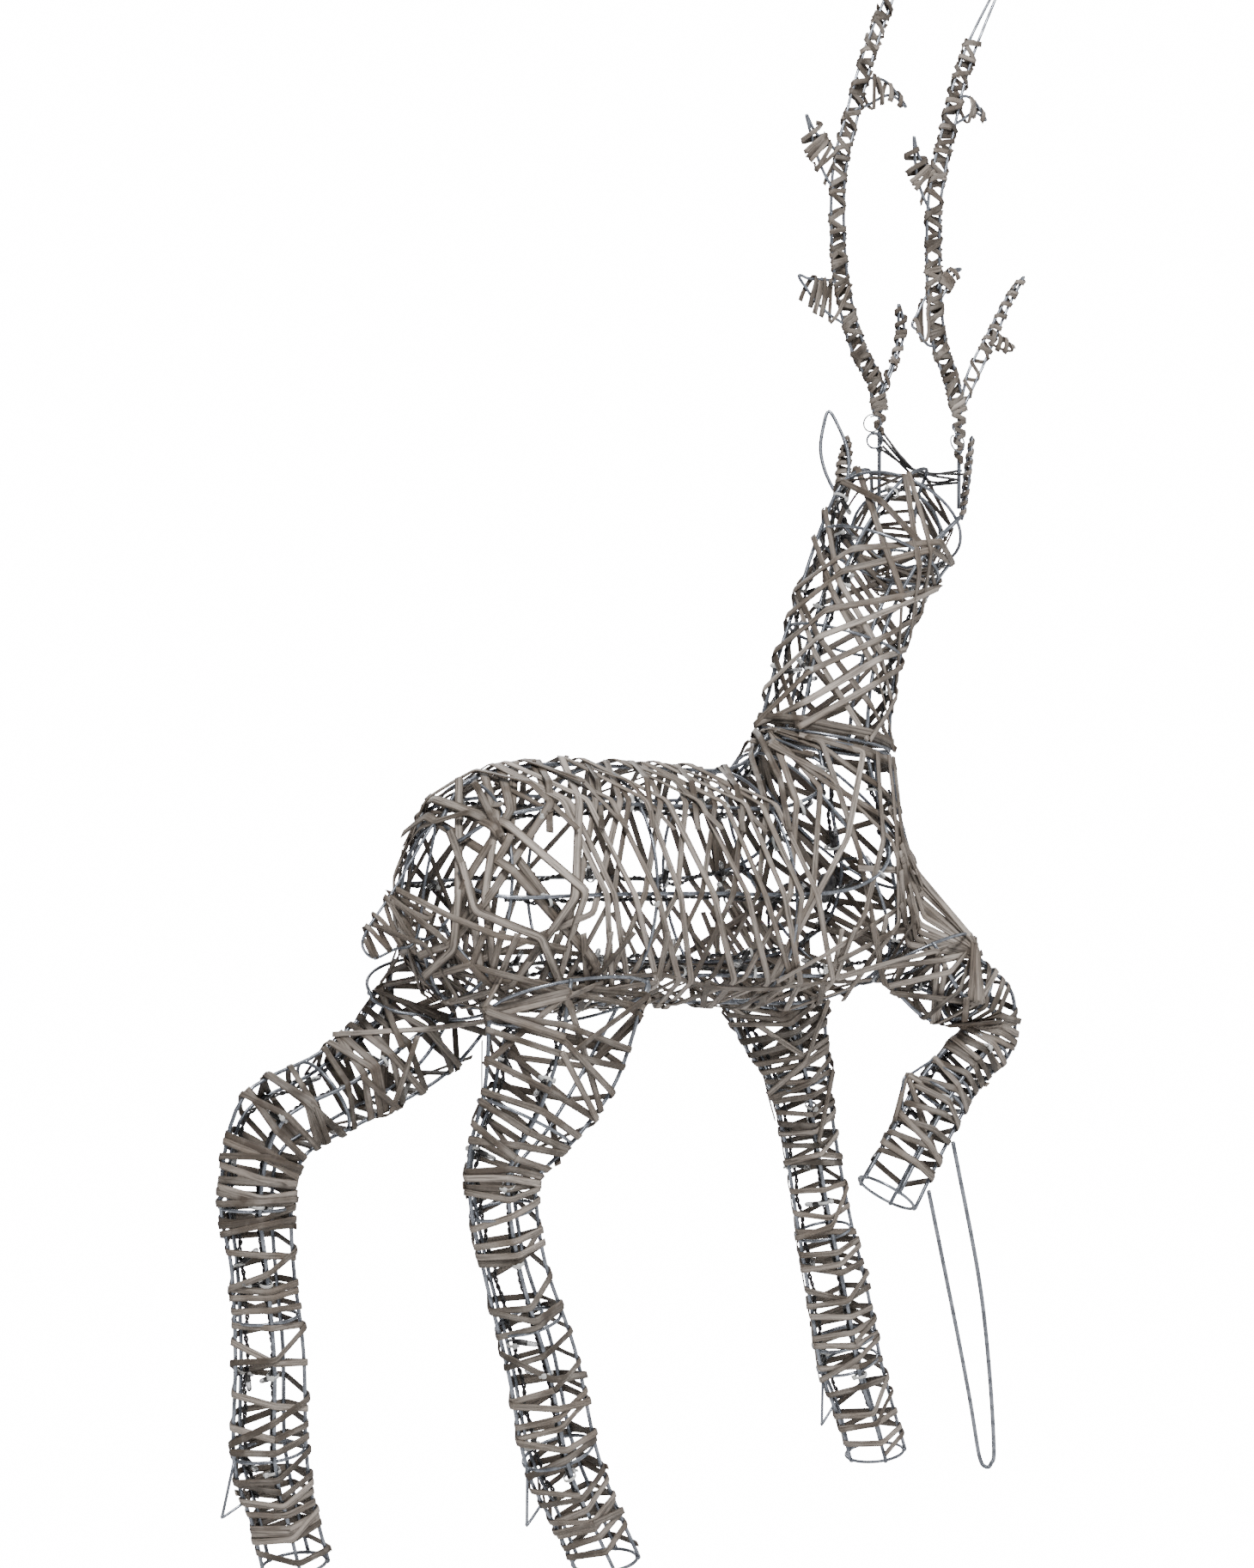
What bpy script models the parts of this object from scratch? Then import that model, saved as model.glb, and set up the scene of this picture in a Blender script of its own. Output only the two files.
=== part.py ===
"""Light-up reindeer figure: a welded wire skeleton wound with rattan strip, with a string
of small lamps inside.  Metres, +Z up, the animal faces +X, its left side is +Y, and the
origin is on the ground under the middle of its bounding box."""

import math

import bmesh
import bpy
import numpy as np
from mathutils import Matrix, Vector

# ---- driving dimensions -------------------------------------------------------------
WIRE = 0.0021            # to the corners of the frame wire, which has three
HOOP_WIRE = 0.0018       # the same for the hoops welded across it
PIN_WIRE = 0.0018        # radius of the prop and of the antlers' pins
FINE_WIRE = 0.0014       # radius of ear, tail and antler wire
TINE_WIRE = 0.0011       # radius of the antlers' tines
CABLE = 0.0012           # radius of the lamp cable
CABLE_INSET = 0.0070     # how far in from the wires' middle it runs
STRIP_WIDTH = 0.006      # rattan strip
STRIP_THICK = 0.0013
GAP = 0.0003             # clearance between pieces that touch
HEAD_TURN = 50.0         # degrees the face looks to the animal's left
HEAD_PIVOT = (0.235, 0.0)
HOOF_RADIUS = 0.0290
HOOF_TILT = 8.0          # degrees a hoof ring rises towards its front
SHIFT = Vector((0.027, -0.007, 0.0))    # brings the bounding box to the middle of the origin

# ---- sections: top x, top z, bottom x, bottom z, half width --------------------------
BODY = [
    (-0.252, 0.626, -0.271, 0.530, 0.045),
    (-0.222, 0.661, -0.244, 0.478, 0.081),
    (-0.150, 0.672, -0.160, 0.466, 0.098),
    (-0.040, 0.666, -0.045, 0.463, 0.100),
    (0.040, 0.662, 0.055, 0.456, 0.100),
    (0.072, 0.672, 0.150, 0.452, 0.099),
    (0.082, 0.682, 0.224, 0.480, 0.091),
    (0.088, 0.689, 0.239, 0.535, 0.075),
    (0.092, 0.692, 0.220, 0.610, 0.068),
    (0.095, 0.693, 0.213, 0.669, 0.059),
]
NECK = [                 # the last three sections are the head, which is turned
    (0.096, 0.698, 0.213, 0.674, 0.059),
    (0.115, 0.760, 0.218, 0.729, 0.053),
    (0.140, 0.821, 0.238, 0.784, 0.053),
    (0.164, 0.878, 0.266, 0.824, 0.059),
    (0.190, 0.922, 0.286, 0.840, 0.062),
    (0.240, 0.936, 0.290, 0.836, 0.054),
    (0.300, 0.915, 0.308, 0.824, 0.043),
    (0.350, 0.886, 0.348, 0.818, 0.033),
    (0.390, 0.860, 0.384, 0.816, 0.025),
]
NECK_TURN = [0.0, 0.0, 0.0, 0.08, 0.35, 0.75, 1.0, 1.0, 1.0]

# ---- legs: x, z, half depth, half width ----------------------------------------------
RIGHT_HIND = [
    (-0.172, 0.480, 0.078, 0.046), (-0.190, 0.440, 0.067, 0.043),
    (-0.212, 0.392, 0.049, 0.038), (-0.239, 0.352, 0.033, 0.031),
    (-0.240, 0.322, 0.029, 0.028), (-0.228, 0.262, 0.027, 0.027),
    (-0.203, 0.186, 0.031, 0.030), (-0.184, 0.104, 0.032, 0.031),
    (-0.160, 0.052, 0.028, 0.028), (-0.137, 0.012, 0.029, 0.029),
]
LEFT_HIND = [
    (-0.213, 0.480, 0.068, 0.045), (-0.242, 0.440, 0.046, 0.041),
    (-0.312, 0.402, 0.036, 0.035), (-0.374, 0.376, 0.038, 0.033),
    (-0.391, 0.322, 0.032, 0.029), (-0.386, 0.262, 0.027, 0.027),
    (-0.380, 0.186, 0.030, 0.030), (-0.380, 0.104, 0.032, 0.031),
    (-0.368, 0.052, 0.028, 0.028), (-0.356, 0.012, 0.029, 0.029),
]
LEFT_FORE = [
    (0.146, 0.462, 0.056, 0.044), (0.162, 0.424, 0.045, 0.039),
    (0.180, 0.378, 0.031, 0.031), (0.193, 0.322, 0.026, 0.026),
    (0.210, 0.240, 0.027, 0.027), (0.230, 0.158, 0.030, 0.030),
    (0.244, 0.096, 0.031, 0.030), (0.262, 0.050, 0.028, 0.028),
    (0.277, 0.012, 0.029, 0.029),
]
RIGHT_FORE = [           # the raised one: out to the knee, then folded back
    (0.214, 0.491, 0.050, 0.042), (0.236, 0.473, 0.040, 0.037),
    (0.262, 0.460, 0.031, 0.031), (0.289, 0.442, 0.027, 0.027),
    (0.290, 0.414, 0.025, 0.025), (0.262, 0.392, 0.024, 0.025),
    (0.234, 0.366, 0.026, 0.027), (0.204, 0.325, 0.027, 0.027),
    (0.174, 0.284, 0.029, 0.029),
]
LEGS = {   # sections, side (+1 left), y, spur's sections, tip of the top, where the strip starts
    "right_hind_leg": (RIGHT_HIND, -1, 0.075, (7.0, 7.5), 0.0, 0.5),
    "left_hind_leg": (LEFT_HIND, 1, 0.065, (7.0, 7.6), 0.0, 1.05),
    "left_fore_leg": (LEFT_FORE, 1, 0.075, (6.0, 6.6), 0.0, 0.5),
    "right_fore_leg": (RIGHT_FORE, -1, 0.066, (5.3, 6.7), 12.0, 0.8),
}
TOP_LEAN = 30.0          # degrees the outer side of a leg's top hoop is raised
LEG_TURNS = 7            # turns of the strip round a leg
SPUR = 0.042             # length of the bare wire loop behind each ankle
PROP = [                 # x, y, z along the bare wire under the raised hoof
    (0.2357, -0.0844, 0.326), (0.288, -0.060, 0.195), (0.320, -0.039, 0.100),
    (0.342, -0.021, 0.020), (0.3415, -0.018, 0.005), (0.337, -0.016, 0.0012),
    (0.332, -0.012, 0.012), (0.309, -0.025, 0.070), (0.272, -0.047, 0.150),
    (0.2071, -0.0851, 0.2848),
]
EARS = {                 # foot, tip, half width
    "left_ear": ((0.201, 0.0370, 0.905), (0.202, 0.055, 0.983), (0.010, -0.007, 0.0)),
    "right_ear": ((0.278, -0.0430, 0.884), (0.284, -0.049, 0.958), (0.004, 0.008, 0.0)),
}
TAIL = [(-0.2558, 0.6250), (-0.276, 0.600), (-0.2925, 0.577), (-0.306, 0.560), (-0.322, 0.540),
        (-0.325, 0.527), (-0.314, 0.518), (-0.295, 0.524), (-0.2749, 0.5305), (-0.2654, 0.578)]

# ---- antlers: x, z of the beam's middle line ------------------------------------------
LEFT_BEAM = [(0.246, 0.985), (0.240, 1.012), (0.222, 1.037), (0.207, 1.075), (0.198, 1.120),
             (0.196, 1.172), (0.200, 1.210), (0.211, 1.245), (0.222, 1.280), (0.237, 1.320),
             (0.256, 1.360), (0.268, 1.385)]
RIGHT_BEAM = [(0.292, 0.982), (0.281, 1.014), (0.268, 1.042), (0.262, 1.084), (0.260, 1.122),
              (0.261, 1.165), (0.267, 1.200), (0.277, 1.235), (0.287, 1.270), (0.300, 1.303),
              (0.314, 1.330), (0.330, 1.358)]
LEFT_TINES = [           # root, outline points, root: each is one bent wire
    [(0.203, 1.095), (0.172, 1.104), (0.152, 1.102), (0.168, 1.078), (0.212, 1.058)],
    [(0.195, 1.178), (0.172, 1.206), (0.160, 1.246), (0.175, 1.232), (0.199, 1.212)],
    [(0.223, 1.282), (0.252, 1.286), (0.276, 1.262), (0.254, 1.268), (0.215, 1.254)],
    [(0.246, 0.999), (0.262, 1.034), (0.268, 1.082), (0.277, 1.059), (0.246, 0.992)],
]
RIGHT_TINES = [
    [(0.257, 1.160), (0.239, 1.190), (0.237, 1.226), (0.247, 1.208), (0.266, 1.192)],
    [(0.290, 1.266), (0.308, 1.266), (0.322, 1.247), (0.306, 1.250), (0.283, 1.240)],
    [(0.265, 1.092), (0.280, 1.110), (0.293, 1.111), (0.282, 1.100), (0.266, 1.078)],
    [(0.258, 1.084), (0.246, 1.082), (0.236, 1.058), (0.246, 1.042), (0.264, 1.040)],
    [(0.294, 0.990), (0.303, 1.020), (0.324, 1.056), (0.345, 1.090), (0.369, 1.108),
     (0.356, 1.082), (0.338, 1.052), (0.320, 1.024), (0.296, 0.984)],
]
LEFT_WOUND = [(0.7, 2.2), (3.6, 4.9), (6.2, 6.95), (8.3, 10.2)]
RIGHT_WOUND = [(0.5, 1.5), (3.5, 4.7), (6.15, 6.9), (8.2, 10.0)]
ANTLERS = {              # beam, tines, stretches wound between the tines, y of its plane
    "left_antler": (LEFT_BEAM, LEFT_TINES, LEFT_WOUND, 0.036),
    "right_antler": (RIGHT_BEAM, RIGHT_TINES, RIGHT_WOUND, -0.022),
}
BEAM_PITCH = 0.030       # from one turn of a beam's strip to the next
BEAM_SPREAD = (0.0075, 0.0025)  # half the distance between a beam's wires, low and at its tip
PIN_LENGTH = 0.088       # the antler's pin goes this far down into the head


# ---- scene, materials -----------------------------------------------------------------
def clear_scene():
    for obj in list(bpy.data.objects):
        bpy.data.objects.remove(obj)


def material(name, colour, roughness, metallic):
    made = bpy.data.materials.new(name)
    made.use_nodes = True
    shader = made.node_tree.nodes["Principled BSDF"]
    shader.inputs["Base Color"].default_value = (*colour, 1.0)
    shader.inputs["Roughness"].default_value = roughness
    shader.inputs["Metallic"].default_value = metallic
    return made


# ---- tubes: a cage is a row of oval sections -------------------------------------------
class Section:
    """An oval: its middle, the direction of its top, the direction of its left side."""

    def __init__(self, centre, top, side, deep, wide):
        self.centre = centre
        self.top = top
        self.side = side
        self.deep = deep
        self.wide = wide


def body_sections():
    made = []
    for top_x, top_z, bottom_x, bottom_z, wide in BODY:
        top = Vector((top_x, 0.0, top_z))
        bottom = Vector((bottom_x, 0.0, bottom_z))
        half = (top - bottom) / 2
        made.append(Section((top + bottom) / 2, half.normalized(), Vector((0, 1, 0)),
                            half.length, wide))
    return made


def neck_sections():
    made = []
    pivot = Vector((HEAD_PIVOT[0], HEAD_PIVOT[1], 0.0))
    for (top_x, top_z, bottom_x, bottom_z, wide), share in zip(NECK, NECK_TURN):
        turn = Matrix.Rotation(math.radians(HEAD_TURN * share), 3, "Z")
        top = pivot + turn @ (Vector((top_x, 0.0, top_z)) - pivot)
        bottom = pivot + turn @ (Vector((bottom_x, 0.0, bottom_z)) - pivot)
        half = (top - bottom) / 2
        made.append(Section((top + bottom) / 2, half.normalized(), turn @ Vector((0, 1, 0)),
                            half.length, wide))
    return made


def leg_sections(name):
    """Sections across a leg that lies in a plane of constant y; their top is its front.
    The first one leans, to follow the belly."""
    stations, side_sign, inset, _, tip, _ = LEGS[name]
    lean = math.radians(TOP_LEAN) * side_sign
    y = side_sign * inset
    points = [Vector((x, y, z)) for x, z, _, _ in stations]
    made = []
    for i, (point, station) in enumerate(zip(points, stations)):
        along = (points[min(i + 1, len(points) - 1)] - points[max(i - 1, 0)]).normalized()
        side = Vector((0, 1, 0))
        front = along.cross(side).normalized()
        if i == 0:
            side = Vector((0, math.cos(lean), math.sin(lean)))
            front = Vector((math.cos(math.radians(tip)), 0, math.sin(math.radians(tip))))
        made.append(Section(point, front, side, station[2], station[3]))
    return made


def rail_point(section, angle):
    turn = math.radians(angle)
    return (section.centre + section.top * (section.deep * math.cos(turn))
            + section.side * (section.wide * math.sin(turn)))


def rail_outward(section, angle):
    turn = math.radians(angle)
    out = section.top * (math.cos(turn) / section.deep)
    out = out + section.side * (math.sin(turn) / section.wide)
    return out.normalized()


def on_tube(tube, u, angle, lift=0.0):
    """A point on the cage, straight between two sections: u counts the sections, and angle
    goes from the top over the left side."""
    last = len(tube) - 1
    u = min(max(u, 0.0), float(last))
    i = min(int(u), last - 1)
    share = u - i
    point = rail_point(tube[i], angle).lerp(rail_point(tube[i + 1], angle), share)
    out = rail_outward(tube[i], angle).lerp(rail_outward(tube[i + 1], angle), share)
    return point + out.normalized() * lift


def middle_at(tube, u):
    last = len(tube) - 1
    u = min(max(u, 0.0), float(last))
    i = min(int(u), last - 1)
    return tube[i].centre.lerp(tube[i + 1].centre, u - i)


# ---- solids ------------------------------------------------------------------------------
def in_collection(obj, collection, finish=None):
    collection.objects.link(obj)
    if finish is not None:
        obj.data.materials.append(finish)
    return obj


def wire_section(radius):
    """The three-sided section of the frame wires."""
    profile = bpy.data.curves.new("wire_section", "CURVE")
    profile.dimensions = "2D"
    spline = profile.splines.new("POLY")
    spline.points.add(2)
    for k, point in enumerate(spline.points):
        turn = 2 * math.pi * k / 3
        point.co = (radius * math.cos(turn), radius * math.sin(turn), 0.0, 1.0)
    spline.use_cyclic_u = True
    return bpy.data.objects.new("wire_section", profile)


def wire_curve(name, lines, radius, sides=3, tilt=0.0):
    """Bent wires: each line is (points, closed)."""
    curve = bpy.data.curves.new(name, "CURVE")
    curve.dimensions = "3D"
    if sides == 3:
        curve.bevel_mode = "OBJECT"
        curve.bevel_object = wire_section(radius)
    else:
        curve.bevel_depth = radius
        curve.bevel_resolution = (sides - 4) // 2
    curve.use_fill_caps = True
    for points, closed in lines:
        spline = curve.splines.new("POLY")
        spline.points.add(len(points) - 1)
        for made, point in zip(spline.points, points):
            made.co = (*(point + SHIFT), 1.0)
            made.tilt = tilt
        spline.use_cyclic_u = closed
    return bpy.data.objects.new(name, curve)


def as_mesh(obj, collection):
    """The curve as a mesh object, with its caps welded on."""
    collection.objects.link(obj)
    bpy.context.view_layer.update()
    graph = bpy.context.evaluated_depsgraph_get()
    mesh = bpy.data.meshes.new_from_object(obj.evaluated_get(graph))
    work = bmesh.new()
    work.from_mesh(mesh)
    bmesh.ops.remove_doubles(work, verts=work.verts, dist=0.00002)
    bmesh.ops.recalc_face_normals(work, faces=work.faces)
    work.to_mesh(mesh)
    work.free()
    made = bpy.data.objects.new(obj.name + "_mesh", mesh)
    made.matrix_world = obj.matrix_world.copy()
    bpy.data.objects.remove(obj)
    return made


def welded(name, groups, finish, parts, cutters):
    """One node: the union of groups of wires; the wires of one group stay apart."""
    meshes = [as_mesh(group, cutters) for group in groups]
    base = bpy.data.objects.new(name, meshes[0].data)
    in_collection(base, parts, finish)
    for other in meshes[1:]:
        cutters.objects.link(other)
        other.hide_render = True
        other.display_type = "WIRE"
        union = base.modifiers.new("weld", "BOOLEAN")
        union.operation = "UNION"
        union.solver = "EXACT"
        union.object = other
    return base


def strip(name, folds, finish, parts):
    """A flat strip folded over wires: an open band with Solidify."""
    mesh = bpy.data.meshes.new(name)
    work = bmesh.new()
    edges = []
    for point, _, half in folds:
        place = Vector(point) + SHIFT
        edges.append((work.verts.new(place - half), work.verts.new(place + half)))
    for (a, b), (c, d) in zip(edges, edges[1:]):
        work.faces.new((a, b, d, c))
    work.to_mesh(mesh)
    work.free()
    made = bpy.data.objects.new(name, mesh)
    in_collection(made, parts, finish)
    solid = made.modifiers.new("thickness", "SOLIDIFY")
    solid.thickness = STRIP_THICK
    solid.offset = 0.0
    solid.use_even_offset = True
    return made


def run_at(tube, u, angle):
    """The direction of the wire that runs lengthwise there."""
    return (on_tube(tube, u + 0.1, angle) - on_tube(tube, u - 0.1, angle)).normalized()


def winding(tube, rails, start, phases, hand, first=0.0):
    """A strip wound round a cage, folded at every rail, with each fold along its rail so that
    the strip lies flat between two rails.  A phase is turns, the sections gained on the half
    turn that goes down, and on the one that comes up.  A fold is its middle, the way out of
    the cage, and half the fold line."""
    clear = WIRE + GAP + STRIP_THICK / 2
    lift = clear / math.cos(math.pi / rails)
    places = [(start, first)]
    for turns, down, up in phases:
        for _ in range(int(round(turns * rails))):
            u, angle = places[-1]
            gain = down if (len(places) - 1) % rails < rails / 2 else up
            places.append((u + gain * 2.0 / rails, angle + hand * 360.0 / rails))
    points = [on_tube(tube, u, angle, lift) for u, angle in places]
    folds = []
    for i, (u, angle) in enumerate(places):
        along = points[min(i + 1, len(points) - 1)] - points[max(i - 1, 0)]
        run = run_at(tube, u, angle)
        crossing = max(along.normalized().cross(run).length, 0.5)
        out = (points[i] - on_tube(tube, u, angle)).normalized()
        folds.append([points[i], out, run * (STRIP_WIDTH / 2 / crossing)])
    return folds


def stretches(lines, reach):
    """The straight stretches of some wires, each as start, end and reach."""
    made = []
    for points, closed in lines:
        ends = points[1:] + points[:1] if closed else points[1:]
        made += [(*a, *b, reach) for a, b in zip(points, ends)]
    return made


def strip_stretches(fold, after):
    """A strip's stretch between two folds, as five lines side by side."""
    made = []
    for share in (-1.0, -0.5, 0.0, 0.5, 1.0):
        made.append((*(fold[0] + fold[2] * share), *(after[0] + after[2] * share),
                     STRIP_THICK / 2))
    return made


def shortfall(fold, after, solid):
    """How much deeper than allowed a strip's stretch lies, at its worst place along."""
    shares = np.linspace(0.0, 1.0, 33)
    sides = np.array((-1.0, -0.5, 0.0, 0.5, 1.0))
    start, end, left, right = (np.array(v) for v in (fold[0], after[0], fold[2], after[2]))
    middle = start + shares[:, None] * (end - start)
    half = left + shares[:, None] * (right - left)
    spots = (middle[:, None, :] + sides[None, :, None] * half[:, None, :]).reshape(-1, 3)
    a = solid[:, 0:3]
    along = solid[:, 3:6] - a
    share = np.einsum("psk,sk->ps", spots[:, None, :] - a, along) / (along * along).sum(1)
    nearest = a + np.clip(share, 0.0, 1.0)[:, :, None] * along
    distance = np.linalg.norm(spots[:, None, :] - nearest, axis=2)
    short = (solid[:, 6] + STRIP_THICK / 2 + GAP - distance).max(axis=1)
    worst = int(short.argmax())
    return float(short[worst]), float(shares[worst // len(sides)])


def settle(folds, wires, rails):
    """Raises a strip's folds until it clears the wires, and each turn the turns under it."""
    for _ in range(16):
        laid = list(wires)
        moved = False
        for i, (fold, after) in enumerate(zip(folds, folds[1:])):
            if i >= rails // 2:
                laid += strip_stretches(folds[i - rails // 2], folds[i - rails // 2 + 1])
            deep, share = shortfall(fold, after, np.array(laid))
            if deep > 0.0:
                weight = (1.0 - share) ** 2 + share ** 2
                fold[0] = fold[0] + fold[1] * (deep * (1.0 - share) / weight)
                after[0] = after[0] + after[1] * (deep * share / weight)
                moved = True
        if not moved:
            break
    return folds


# ---- the pieces ------------------------------------------------------------------------------
def hoop(tube, u, rails, first):
    """A hoop with a corner at each rail."""
    return [on_tube(tube, u, first + 360.0 * k / rails) for k in range(rails)], True


def cage(name, tube, rails, hoops, first=0.0, feet=None, extra=()):
    """The wires of a cage: lengthwise rails, and hoops that are welded across them.  Gives
    the curves to weld, and their stretches."""
    last = len(tube) - 1
    lengthwise = []
    for k in range(rails):
        angle = first + 360.0 * k / rails
        points = [on_tube(tube, i, angle) for i in range(last + 1)]
        if feet is not None:
            points[-1] = hoof_point(feet, angle)
        lengthwise.append((points, False))
    rings = [hoop(tube, u, rails, first) for u in hoops]
    rings += list(extra)
    curves = [wire_curve(name + "_rails", lengthwise, WIRE),
              wire_curve(name + "_hoops", rings, HOOP_WIRE)]
    return curves, stretches(lengthwise, WIRE) + stretches(rings, HOOP_WIRE)


def beam_spread(share):
    """Half the distance between a beam's wires; they draw together towards the tip."""
    low, tip = BEAM_SPREAD
    return low + (tip - low) * share ** 4


def hairpin(points, y):
    """A closed loop of wire round a middle line: up one side, over the tip, down the other."""
    line = [Vector((x, y, z)) for x, z in points]
    front = []
    back = []
    last = len(line) - 1
    for i, point in enumerate(line):
        along = (line[min(i + 1, last)] - line[max(i - 1, 0)]).normalized()
        out = Vector((along.z, 0.0, -along.x))
        spread = beam_spread(i / last)
        front.append(point + out * spread)
        back.append(point - out * spread)
    return front + [line[-1] + (line[-1] - line[-2]).normalized() * 0.006] + back[::-1]


def two_windings(name, inner, outer, wires, rails, rattan, parts):
    """Two strips wound opposite ways, the second over the first."""
    settle(inner, wires, rails)
    strip(name + "_winding_inner", inner, rattan, parts)
    under = list(wires)
    for fold, after in zip(inner, inner[1:]):
        under += strip_stretches(fold, after)
    settle(outer, under, rails)
    strip(name + "_winding_outer", outer, rattan, parts)


def build_body(parts, cutters, steel, rattan):
    tube = body_sections()
    curves, wires = cage("body", tube, 8, (0.0, 1.0, 4.0, 9.0))
    welded("body_frame", curves, steel, parts, cutters)
    inner = winding(tube, 8, 0.25, [(5.5, 1.3, -0.6), (2.0, 1.7, -0.2)], -1)
    outer = winding(tube, 8, 0.9, [(5, -0.6, 1.3), (1.5, -0.2, 1.7)], 1)
    two_windings("body", inner, outer, wires, 8, rattan, parts)


def build_neck(parts, cutters, steel, rattan):
    tube = neck_sections()
    curves, wires = cage("neck", tube, 6, (0.0, 2.0, 4.0, 8.0), first=30.0)
    welded("neck_and_head_frame", curves, steel, parts, cutters)
    inner = winding(tube, 6, 0.25, [(3.0, 1.1, 0.1)], -1, first=30.0)
    outer = winding(tube, 6, 0.3, [(3.0, 2.0, -1.3)], 1, first=210.0)
    two_windings("neck", inner, outer, wires, 6, rattan, parts)
    muzzle = winding(tube, 6, 6.3, [(2.5, 0.28, 0.28)], -1, first=30.0)
    strip("muzzle_winding", settle(muzzle, wires, 6), rattan, parts)


def hoof_point(centre, angle):
    """A point on the wire ring that the leg stands on: eight sides, tilted up at its front."""
    tilt = math.radians(HOOF_TILT)
    corner = (angle + 22.5) % 45.0 - 22.5
    reach = HOOF_RADIUS / math.cos(math.radians(corner))
    forward = reach * math.cos(math.radians(angle))
    low = HOOF_RADIUS * math.sin(tilt) + HOOP_WIRE * 0.4
    return Vector((centre.x + forward * math.cos(tilt),
                   centre.y + reach * math.sin(math.radians(angle)),
                   low + forward * math.sin(tilt)))


def spur(tube, upper, lower):
    """A bare wire that leaves the back of the shin, runs on, and comes back to the ankle."""
    start = on_tube(tube, upper, 180.0)
    run = (start - on_tube(tube, upper - 1.0, 180.0)).normalized()
    out = (start - middle_at(tube, upper)).normalized()
    end = on_tube(tube, lower, 180.0)
    knee = start + run * SPUR + out * 0.010
    turn = knee + (end - knee) * 0.12 + out * 0.002 + run * 0.003
    return [start, knee, turn, end], False


def stand_flat(obj, cutters):
    """Cuts a piece off flat where it stands, a little under its lowest wire's middle."""
    ground = cutters.objects.get("ground")
    if ground is None:
        bpy.ops.mesh.primitive_cube_add(size=2.0, location=(0.0, 0.0, -1.0))
        ground = bpy.context.object
        ground.name = "ground"
        for owner in list(ground.users_collection):
            owner.objects.unlink(ground)
        cutters.objects.link(ground)
        ground.hide_render = True
        ground.display_type = "WIRE"
    cut = obj.modifiers.new("standing_flat", "BOOLEAN")
    cut.operation = "DIFFERENCE"
    cut.solver = "EXACT"
    cut.object = ground


def build_leg(name, parts, cutters, steel, rattan):
    stations, side, _, ankle, _, start = LEGS[name]
    planted = name != "right_fore_leg"
    tube = leg_sections(name)
    last = len(stations) - 1
    rings = [spur(tube, *ankle)]
    if planted:
        rings.append(([hoof_point(tube[-1].centre, 22.5 + 45.0 * k) for k in range(8)], True))
    curves, wires = cage(name, tube, 5, (0.0,) if planted else (0.0, last), first=36.0,
                         feet=tube[-1].centre if planted else None, extra=rings)
    frame = welded(name + "_frame", curves, steel, parts, cutters)
    if planted:
        stand_flat(frame, cutters)
    gain = (last - 0.4 - start) / LEG_TURNS / 2
    folds = winding(tube, 5, start, [(LEG_TURNS, gain, gain)], side, first=36.0)
    strip(name + "_winding", settle(folds, wires, 5), rattan, parts)


def build_prop(parts, cutters, steel):
    line = [Vector(point) for point in PROP]
    wire = as_mesh(wire_curve("standing_prop", [(line, False)], PIN_WIRE, sides=6), cutters)
    prop = in_collection(bpy.data.objects.new("standing_prop", wire.data), parts, steel)
    bpy.data.objects.remove(wire)
    stand_flat(prop, cutters)


def build_ear(name, parts, cutters, steel):
    """A leaf-shaped loop of wire beside the poll."""
    foot, tip, across = EARS[name]
    foot = Vector(foot)
    tip = Vector(tip)
    wide = Vector(across)
    loop = []
    for share, half in ((0.0, 0.0), (0.25, 0.8), (0.55, 1.0), (0.85, 0.5), (1.0, 0.0),
                        (0.85, -0.5), (0.55, -1.0), (0.25, -0.8)):
        loop.append(foot.lerp(tip, share) + wide * half)
    wire = as_mesh(wire_curve(name, [(loop, True)], FINE_WIRE, sides=4), cutters)
    in_collection(bpy.data.objects.new(name + "_frame", wire.data), parts, steel)
    bpy.data.objects.remove(wire)


def build_tail(parts, cutters, steel):
    loop = [Vector((x, 0.0, z)) for x, z in TAIL]
    wire = as_mesh(wire_curve("tail_loop", [(loop, True)], FINE_WIRE, sides=6), cutters)
    in_collection(bpy.data.objects.new("tail_frame", wire.data), parts, steel)
    bpy.data.objects.remove(wire)


def beam_tube(beam, y):
    """Sections round the two wires of a beam; a strip folds at their four corners."""
    tube = []
    last = len(beam) - 1
    for i, (x, z) in enumerate(beam):
        before = beam[max(i - 1, 0)]
        after = beam[min(i + 1, last)]
        along = Vector((after[0] - before[0], 0.0, after[1] - before[1])).normalized()
        spread = beam_spread(i / last)
        tube.append(Section(Vector((x, y, z)), Vector((along.z, 0.0, -along.x)),
                            Vector((0, 1, 0)), math.sqrt(2) * (spread + FINE_WIRE),
                            math.sqrt(2) * FINE_WIRE))
    return tube


def build_antler(name, parts, cutters, steel, rattan):
    beam, tines, wound, y = ANTLERS[name]
    loop = hairpin(beam, y)
    foot = Vector((beam[0][0], y, beam[0][1]))
    pin = [foot + Vector((0.0, 0.0, 0.004)), foot - Vector((0.0, 0.0, PIN_LENGTH))]
    bent = [([Vector((x, y, z)) for x, z in tine], False) for tine in tines]
    wires = stretches([(loop, True)], FINE_WIRE) + stretches(bent, TINE_WIRE)
    welded(name + "_frame", [wire_curve(name + "_beam", [(loop, True)], FINE_WIRE, sides=4),
                             wire_curve(name + "_tines", bent, TINE_WIRE, sides=4,
                                        tilt=math.radians(15)),
                             wire_curve(name + "_pin", [(pin, False)], PIN_WIRE, sides=6)],
           steel, parts, cutters)
    tube = beam_tube(beam, y)
    for number, (start, end) in enumerate(wound, 1):
        length = (middle_at(tube, end) - middle_at(tube, start)).length
        turns = math.ceil(4 * length / BEAM_PITCH) / 4
        gain = (end - start) / turns / 2
        folds = winding(tube, 4, start, [(turns, gain, gain)], 1, first=45.0)
        strip("%s_winding_%d" % (name, number), settle(folds, wires, 4), rattan, parts)


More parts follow.
